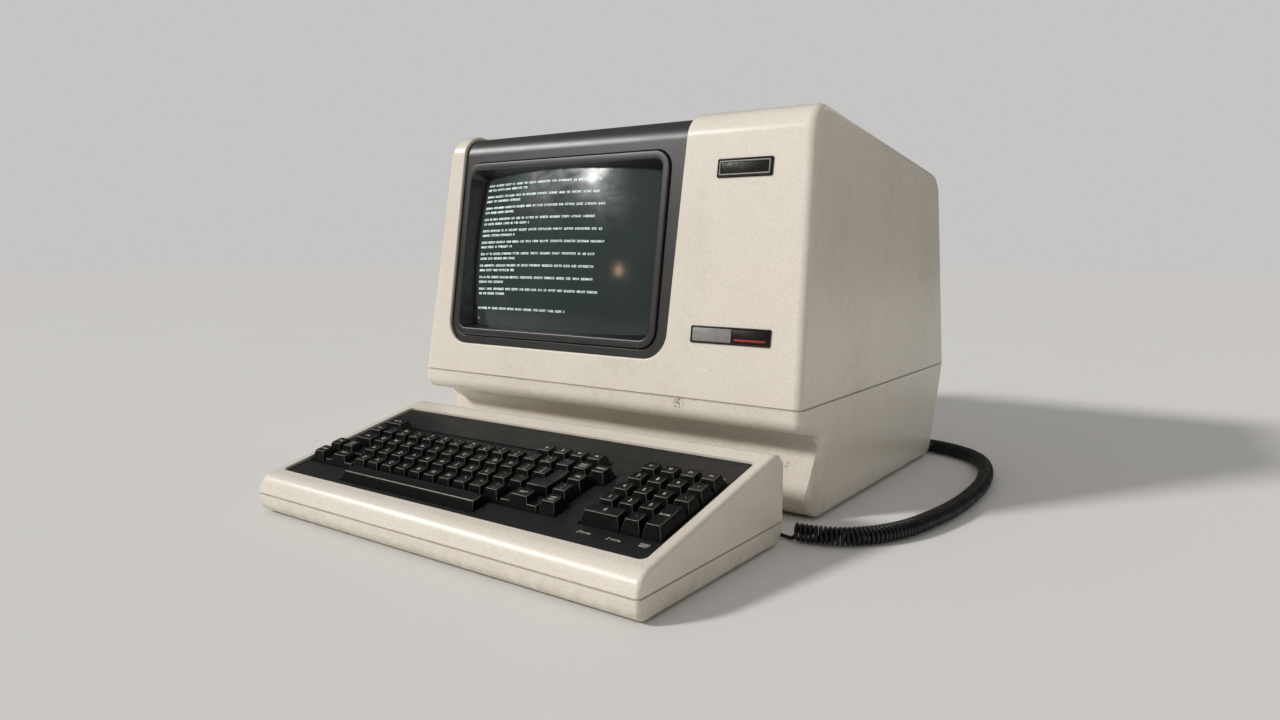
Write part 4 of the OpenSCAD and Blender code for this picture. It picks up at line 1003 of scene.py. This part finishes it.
def make_badges():
    badge_frame("upper_badge", UPPER_BADGE)
    rim = lofted("upper_badge_rim", badge_rings(UPPER_BADGE, RIM_SECTION, 0, 0.5), SILVER, capped=False)
    mount(rim, "monitor", "badge_metal")
    badge_plate("upper_badge_field", *recess(UPPER_BADGE, UPPER_MARGIN), 1, DARK_METAL)

    badge_frame("lower_badge", LOWER_BADGE)
    left, right, low, high = recess(LOWER_BADGE, LOWER_MARGIN)
    seam = left + (right - left) * SEAM_SHARE
    badge_plate("lower_badge_light_half", left, seam, low, high, 1.3, SILVER)
    badge_plate("lower_badge_dark_half", seam + SEAM_GAP, right, low, high, 1.1, DARK_METAL)
    line = low + LINE_LOW
    badge_plate("lower_badge_red_line", seam + LINE_END, right - LINE_END, line, line + LINE_W, 1.4,
                BADGE_RED)


make_badges()

# ---- keyboard housing ----


def kb_block(d):
    """The keyboard's whole form moved in by d, its side edges rounded all the way round."""
    nose_r = (RIM_H - KB_PARTING) * math.cos(RIM_A) / (1 - math.sin(RIM_A))
    view = [(0, FOOT_H, KB_FRONT_R), (KB_DEPTH, FOOT_H, KB_REAR_R),
            (KB_DEPTH, RIM_H + KB_DEPTH * math.tan(RIM_A), KB_REAR_R), (0, RIM_H, nose_r)]
    half = KB_W / 2 - d
    bm = prism(rounded(inset(view, d)), lambda p, end: (KB_X + (2 * end - 1) * half, p.x + NOSE_Y, p.y))
    rims = [e for e in bm.edges if abs(e.verts[0].co.x - e.verts[1].co.x) < 0.01]
    round_off(bm, rims, KB_SIDE_R - d)
    return bm


def make_keyboard_case():
    """Two halves that meet over a groove."""
    deck = rounded(across(DECK_W / 2, DECK_FRONT, DECK_REAR, DECK_R))
    for half, low, high in (("top", KB_PARTING, CASE_H), ("base", -CASE_H, KB_PARTING)):
        case = new_object("keyboard_case_" + half, kb_block(0), [CREAM])
        boolean(case, kb_block(KB_WALL))
        boolean(case, slab(low, high), "INTERSECT")
        core = new_object("core", kb_block(GROOVE_DEEP))
        groove(case, core, KB_PARTING - GROOVE / 2, KB_PARTING + GROOVE / 2)
        if half == "top":
            boolean(case, on_plane(deck, RIM, -CASE_H, CASE_H))
        tidy_faces(case)
        soften(case, 0.7, 3)
        mount(case, "keyboard", "cream_plastic", "keyboard_" + half)


make_keyboard_case()

# ---- keys ----

CAP_LOW = KEY_RISE - CAP_H
RIM_R, DISH = 0.5, 0.25
WALL_SHARES, DISH_SHARES = (0, 0.3, 0.6), (0.93, 0.8, 0.6, 0.35, 0.12)
# shares of wear and painted highlight for the upright front corners and for the rear rims
CORNER_WEAR_AND_HIGHLIGHT, REAR_WEAR_AND_HIGHLIGHT = 0.8, 0.35
STEM, STEM_LEN = 4, 9
BAR_LOW, BAR_RIM_R, BAR_DISH = 2, 1, -0.35


def key(row, col, label="", w=1, deep=1, start=0, raised=0):
    return {"row": row, "col": col, "label": label, "w": w, "deep": deep, "start": start,
            "raised": raised or w}


def row_of(row, col, labels):
    return [key(row, col + i, label) for i, label in enumerate(labels)]


KEYS = {
    "number_row_keys": row_of(4, 0, ["ESC", "!|1", "@|2", "#|3", "$|4", "%|5", "^|6", "&|7", "*|8", "(|9",
                                     ")|0", "_|-", "+|=", "~|`", "BACK|SPACE", "BREAK"]),
    "upper_row_keys": row_of(3, 1.5, [*"QWERTYUIOP", "{|[", "}|]"]) + [key(3, 14.5, "DEL")],
    "home_row_keys": row_of(2, 2, [*"ASDFGHJKL", ":|;", "\"|'"]) + [key(2, 14.5, "||\\")],
    "lower_row_keys": row_of(1, 2.5, [*"ZXCVBNM", "<|,", ">|.", "?|/"]),
    "return_key": [key(2, 13, "", 1.5)],
    "left_shift_key": [key(1, 0.25, "SHIFT", 2.25, 1, 0.5, 1.25)],
    "right_shift_key": [key(1, 12.5, "SHIFT", 2.25, 1, 0.5, 1.25)],
    "control_key": [key(2, -0.75, "CTRL")],
    "caps_lock_key": [key(2, 0.25, "CAPS|LOCK", 1.75, 1, 0, 1)],
    "tab_key": [key(3, 0, "TAB", 1.5)],
    "setup_key": [key(5, 0, "SET UP", 1.5)],
    "line_feed_key": [key(1, 14.75, "LINE|FEED")],
    "no_scroll_key": [key(1, -0.75, "HOLD")],
    "arrow_keys": row_of(5, 11, ["up", "down", "left", "right"]),
    "function_keys": row_of(5, 17, ["F1", "F2", "F3", "F4"]),
    "keypad_keys": row_of(4, 17, "789-") + row_of(3, 17, "456,") + row_of(2, 17, "123") + [key(1, 19, ".")],
    "keypad_zero_key": [key(1, 17, "0", 2)],
    "keypad_enter_key": [key(1, 20, "ENTER", 1, 2)],
}
ARROW = [(0, 1), (0.75, 0.15), (0.25, 0.15), (0.25, -1), (-0.25, -1), (-0.25, 0.15), (-0.75, 0.15)]
ARROW_SIZE, ARROW_TURN = 1.9, {"up": 0, "left": 90, "down": 180, "right": 270}
INK_T, INK_UP = 0.04, 0.03


def cell(row, col, w=1, deep=1):
    """Left, front, width and depth of a key on the rim plane, from its place and size in key pitches."""
    return (KEY_LEFT + col * PITCH + KEY_GAP / 2, KEY_FRONT + row * PITCH + KEY_GAP / 2,
            w * PITCH - KEY_GAP, deep * PITCH - KEY_GAP)


def cap_rings(place, low, high, side, front, back, rim_r, dish):
    """The rings of one cap: sloped walls, a rounded rim and a dished top, with each ring's share of wear and
    painted highlight.
    """
    u0, v0, w, d = place

    def level(share, z, r, inward=0, scale=1, wear_and_highlight=0):
        """A ring where the walls have come in by a share of their slope."""
        middle = Vector((u0 + w / 2, v0 + d / 2 + (front - back) / 2 * share))
        half_w = (w / 2 - side * share - inward) * scale
        half_d = (d / 2 - (front + back) / 2 * share - inward) * scale
        return [Vector((*(middle + p), z)) for p in ring(half_w, half_d, r, 4, 4)], wear_and_highlight

    height = high - low
    walls = [level(t, low + height * t, 0.7 + 0.7 * t) for t in (*WALL_SHARES, 1 - rim_r / height)]
    # the middle of the rim's arc gets the most wear and painted highlight
    rim = [level(1, high - rim_r * (1 - math.sin(t)), 1.4, rim_r * (1 - math.cos(t)),
                 wear_and_highlight=math.sin(2 * t) ** 2) for t in steps(0, math.pi / 2, 4)[1:]]
    top = [level(1, high - dish * (1 - t * t), max(0.2, 1.2 * t), rim_r, t) for t in DISH_SHARES]
    return walls + rim + top


def add_cap(bm, layer, place, low, high, side=CAP_SIDE, front=CAP_FRONT, back=CAP_BACK, rim_r=RIM_R,
            dish=DISH):
    """Adds one cap block and writes each point's share of wear and painted highlight; upright front corners
    get it too, rear rims less.
    """
    rings = cap_rings(place, low, high, side, front, back, rim_r, dish)
    before = len(bm.verts)
    loft([[RIM @ p for p in points] for points, _ in rings], bm)
    bm.verts.ensure_lookup_table()
    n = len(rings[0][0])
    for i, (points, wear_and_highlight) in enumerate(rings):
        for j in range(n):
            in_front = j >= n // 2
            corner = in_front and j % (n // 4) == 2 and 1 <= i <= 3
            edge_wear_and_highlight = wear_and_highlight if in_front else wear_and_highlight * REAR_WEAR_AND_HIGHLIGHT
            bm.verts[before + i * n + j][layer] = CORNER_WEAR_AND_HIGHLIGHT if corner else edge_wear_and_highlight


def text_meshes(labels):
    """A flat mesh for each label and size, centred on the origin, as lists of points and faces."""
    made = {}
    for label, size in labels:
        data = bpy.data.curves.new("label", "FONT")
        data.body, data.size, data.extrude = label, size * MM, INK_T * MM
        data.align_x, data.resolution_u = "CENTER", 3
        made[label, size] = add_object("label", data)
    bpy.context.view_layer.update()
    graph = bpy.context.evaluated_depsgraph_get()
    shapes = {}
    for which, obj in made.items():
        mesh = obj.evaluated_get(graph).to_mesh()
        points = [v.co / MM for v in mesh.vertices]
        faces = [tuple(p.vertices) for p in mesh.polygons]
        middle = (min(p.y for p in points) + max(p.y for p in points)) / 2
        shapes[which] = ([Vector((p.x, p.y - middle, p.z)) for p in points], faces)
        obj.evaluated_get(graph).to_mesh_clear()
    for obj in made.values():
        bpy.data.curves.remove(obj.data)
    return shapes


def label_parts(label):
    """The texts of a label with their size and their place up from the middle of the key's top."""
    if label in ARROW_TURN or not label:
        return []
    if label == "||\\":
        return [("|", 3.2, 2.6), ("\\", 3.2, -2.6)]
    if "|" in label:
        upper, lower = label.split("|")
        size, gap = (3.9, 2.6) if len(upper) == 1 else (2.8, 1.8)
        return [(upper, size, gap), (lower, size, -gap)]
    return [(label, {1: 5.4, 2: 4}.get(len(label), 3.2), 0.4)]


def arrow_mesh(label):
    """An arrow as a flat mesh, turned the way its key says."""
    turn = Matrix.Rotation(math.radians(ARROW_TURN[label]), 2)
    flat = [turn @ Vector(p) * ARROW_SIZE for p in ARROW]
    n = len(flat)
    faces = [tuple(range(n))[::-1], tuple(range(n, 2 * n))]
    faces += [((i + 1) % n, (i + 1) % n + n, i + n, i) for i in range(n)]
    return [Vector((*p, z)) for z in (-INK_T, INK_T) for p in flat], faces


def print_on(bm, shape, put, material=0):
    """Adds a flat shape, each of its points where put(point) says."""
    points, faces = shape
    verts = [bm.verts.new(RIM @ put(p)) for p in points]
    for f in faces:
        bm.faces.new([verts[i] for i in f]).material_index = material


def add_labels(bm, label, place, shapes):
    """Prints a key's label on its dished top."""
    u0, v0, w, d = place
    u, v = u0 + w / 2, v0 + (CAP_FRONT + d - CAP_BACK) / 2
    half_w, half_d = w / 2 - CAP_SIDE, (d - CAP_FRONT - CAP_BACK) / 2

    def on_dish(p, up):
        t = min(1, max(abs(p.x) / half_w, abs(p.y + up) / half_d))
        return Vector((u + p.x, v + p.y + up, KEY_RISE - DISH * (1 - t * t) + p.z + INK_UP))

    for text, size, up in label_parts(label):
        print_on(bm, shapes[text, size], lambda p: on_dish(p, up), 1)
    if label in ARROW_TURN:
        print_on(bm, arrow_mesh(label), lambda p: on_dish(p, 0), 1)


def make_keys():
    """Each node's caps; a key that is wider than its raised part gets a low step, the return key a wing."""
    labels = {part[:2] for keys in KEYS.values() for k in keys for part in label_parts(k["label"])}
    shapes = text_meshes(sorted(labels))
    for node, keys in KEYS.items():
        bm = bmesh.new()
        layer = bm.verts.layers.float.new("wear_and_highlight")
        for k in keys:
            place = cell(k["row"], k["col"] + k["start"], k["raised"], k["deep"])
            add_cap(bm, layer, place, CAP_LOW, KEY_RISE)
            if k["raised"] != k["w"]:
                add_cap(bm, layer, cell(k["row"], k["col"], k["w"], k["deep"]), CAP_LOW, CAP_LOW + STEP_H,
                        CAP_SIDE / 2, CAP_FRONT / 2, CAP_BACK / 2, RIM_R, 0)
            u, v = place[0] + place[2] / 2, place[1] + place[3] / 2
            box(bm, (u - STEM / 2, v - STEM / 2, CAP_LOW - STEM_LEN),
                (u + STEM / 2, v + STEM / 2, CAP_LOW + 1), RIM)
            add_labels(bm, k["label"], place, shapes)
        if node == "return_key":
            add_cap(bm, layer, cell(2, 13.5, 1, 2), CAP_LOW, KEY_RISE)
        finish_caps(node + "_caps", bm, node, [KEY, INK])


def make_space_bar():
    bm = bmesh.new()
    add_cap(bm, bm.verts.layers.float.new("wear_and_highlight"), cell(0, 3, 9), CAP_LOW, KEY_RISE - BAR_LOW, CAP_SIDE / 2,
            CAP_FRONT, CAP_BACK, BAR_RIM_R, BAR_DISH)
    finish_caps("space_bar_cap", bm, "space_bar", [KEY])


def finish_caps(name, bm, node, materials):
    caps = new_object(name, bm, materials)
    soften(caps, sharp=50)
    mount(caps, node, "key_plastic", node)


make_keys()
make_space_bar()

# ---- the deck's lamps and marks ----

LAMPS, LIT_LAMP, LAMP_ROW, LAMP_MIDDLE = 7, 4, 5.5, 6.25
# The radius and the height over the rim plane
LAMP_PROFILE = [(0.05, -20), (2.4, -20), (2.4, -17), (1.6, -17), (1.6, -3.6), (1.28, -3.1), (0.64, -2.9),
                (0.05, -2.85)]
MARKS = [("POWER", 146, 39), ("LOCAL", 174, 39), ("CLEAR", 198, 42), ("RESET", 198, 39.4),
         ("KEYS", 198, 150.6)]
TICKS, TICK_LEAN = [(139.5, 39), (167, 39)], math.radians(-20)
TICK_LOW, TICK_HIGH = (-0.3, -2, -0.03), (0.3, 2, 0.05)
MARK_SIZE = 2.9


def add_lamp(bm, i):
    """A lamp's lens on its flange, turned from the profile."""
    u = KEY_LEFT + (LAMP_MIDDLE + i - (LAMPS - 1) / 2) * PITCH
    at = RIM @ Matrix.Translation((u, KEY_FRONT + LAMP_ROW * PITCH, 0))
    around = steps(0, 2 * math.pi, 20)[:-1]
    loft([[at @ Vector((*polar(r, t), z)) for t in around] for r, z in LAMP_PROFILE], bm)


def make_lamps():
    dark, lit = bmesh.new(), bmesh.new()
    for i in range(LAMPS):
        add_lamp(lit if i == LIT_LAMP else dark, i)
    mount(new_object("lamp_on", lit, [LAMP_LIT]), "keyboard", "red_plastic")
    mount(new_object("lamps_off", dark, [LAMP_DARK]), "keyboard", "red_plastic", "indicator_lamps")


def make_deck_marks():
    """Small generic words printed on the deck beside the keypad."""
    shapes = text_meshes(sorted({(text, MARK_SIZE) for text, _, _ in MARKS}))
    bm = bmesh.new()
    for text, u, v in MARKS:
        print_on(bm, shapes[text, MARK_SIZE], lambda p: p + Vector((u, v, INK_UP - KB_WALL)))
    for u, v in TICKS:
        lean = Matrix.Translation((u, v, -KB_WALL)) @ Matrix.Rotation(TICK_LEAN, 4, "Z")
        box(bm, TICK_LOW, TICK_HIGH, RIM @ lean)
    mount(new_object("deck_marks", bm, [INK]), "keyboard", "key_plastic")


make_lamps()
make_deck_marks()

# ---- the other CAD pieces get materials and softened edges ----

# A material, the rounding of the edges and the nodes that get them
FINISHES = [
    (DECK, 0.5, ["key_deck"]),
    (STEEL, 0, ["switch_plate", "tube_band", "chassis_frame", "power_supply"]),
    (STEEL, 0.2, ["keyboard_screws"]),
    (STEEL, 0.3, ["rear_panel", "serial_connector", "monitor_screws"]),
    (CHROME, 0.3, ["video_jacks", "keyboard_jack"]),
    (COPPER, 0.6, ["deflection_yoke"]),
    (BOARD, 0, ["keyboard_board", "neck_board", "video_board", "logic_board"]),
    (BLACK, 0, ["key_switches"]),
    (BLACK, 0.4, ["power_inlet", "fuse_holder", "switch_body", "power_switch"]),
    (BLACK, 0.6, ["flyback_transformer", "phone_plug"]),
    (RUBBER, 0.4, ["keyboard_feet", "cord_boot"]),
    (RUBBER, 0.6, ["anode_cap", "monitor_feet"]),
    (LAMP_DARK, 0.3, ["voltage_selector"]),
]


def dress(obj, material, edge):
    obj.data.materials.clear()
    obj.data.materials.append(material)
    obj.modifiers.new("weld", "WELD").merge_threshold = 1e-5
    if edge:
        flat = obj.modifiers.new("flat", "DECIMATE")
        flat.decimate_type, flat.angle_limit = "DISSOLVE", math.radians(0.5)
        add_bevel(obj, edge)


for material, edge, names in FINISHES:
    for name in names:
        dress(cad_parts[name], material, edge)

# ---- floor and light ----

BACKDROP = (0.56, 0.555, 0.55, 1)
FLOOR_REACH, FLOOR_T = 9000, 40
KEY_FROM = Vector((-0.531, -0.688, 0.495))
WIDE_BOX_FROM = Vector((-0.654, -0.476, 0.588))
MIDDLE = Vector((0, -180, 150))


def make_floor():
    paint = surface("floor_paint", (225, 224, 222), [((400, 3, 0.55, 0.3, 0.7), (226, 225, 223))], 0.85,
                    Specular_IOR_Level=0.1)
    slab_form = box(None, (-FLOOR_REACH, -FLOOR_REACH, -FLOOR_T), (FLOOR_REACH, FLOOR_REACH, 0))
    new_object("floor", slab_form, [paint])


def area_light(name, place, target, size, watts, colour=(1, 1, 1)):
    """A soft box at a place, in millimetres, that faces a target and adds no diffuse light."""
    data = bpy.data.lights.new(name, "AREA")
    data.shape = "ELLIPSE" if max(size) < 100 else "RECTANGLE"
    data.size, data.size_y = (x * MM for x in size)
    data.energy, data.color = watts, colour
    data.cycles.max_bounces = 0
    light = add_object(name, data)
    light.location = Vector(place) * MM
    light.rotation_euler = (Vector(target) - Vector(place)).to_track_quat("-Z", "Y").to_euler()
    light.visible_diffuse = False


def make_lights():
    """A sun for the soft key light, and boxes that only shine on edges and in the glass."""
    data = bpy.data.lights.new("key", "SUN")
    data.energy, data.angle, data.color = 2.5, math.radians(8), (1, 0.985, 0.965)
    sun = add_object("key", data)
    sun.rotation_euler = KEY_FROM.to_track_quat("Z", "Y").to_euler()
    sun.visible_glossy = False
    area_light("wide_box", MIDDLE + 6000 * WIDE_BOX_FROM, MIDDLE, (3500, 560), 145, (1, 0.985, 0.96))
    area_light("screen_glint", (-910, -1210, 1155), (-22, -60, 327), (62, 52), 0.5)
    area_light("warm_glint", (-480, -1320, 480), (20, -60, 226), (36, 64), 0.15, (1, 0.62, 0.36))
    area_light("warm_rim", (500, 1500, 1100), (0, 0, 380), (900, 400), 1.1, (1, 0.82, 0.66))


def make_world():
    """A pale studio that gives soft light from all round and meets the floor without a line.

    In reflections it is darker towards the floor, so that dark plastic stays dark.
    """
    world = bpy.data.worlds.new("studio")
    world.use_nodes = True
    tree = world.node_tree
    fill = tree.nodes["Background"]
    connect(tree, fill.inputs["Color"], (1, 0.98, 0.95, 1))
    connect(tree, fill.inputs["Strength"], 0.4)
    height = add_node(tree, "SeparateXYZ", "Z", {0: add_node(tree, "TexCoord", "Generated")})
    fade = add_node(tree, "MapRange", "Result", {"Value": height, "From Min": 0.05, "From Max": 0.9,
                                                 "To Min": 0.07, "To Max": 0.3})
    mirrored = add_node(tree, "Background", 0, {"Strength": fade})
    seen = add_node(tree, "Background", 0, {"Color": BACKDROP})
    shown = fill.outputs[0]
    for ray, shader in (("Is Glossy Ray", mirrored), ("Is Camera Ray", seen)):
        share = add_node(tree, "LightPath", ray)
        shown = add_node(tree, "MixShader", 0, {"Fac": share, 1: shown, 2: shader})
    connect(tree, tree.nodes["World Output"].inputs["Surface"], shown)
    bpy.context.scene.world = world


make_floor()
make_lights()
make_world()
bpy.context.scene.view_settings.view_transform = "Standard"
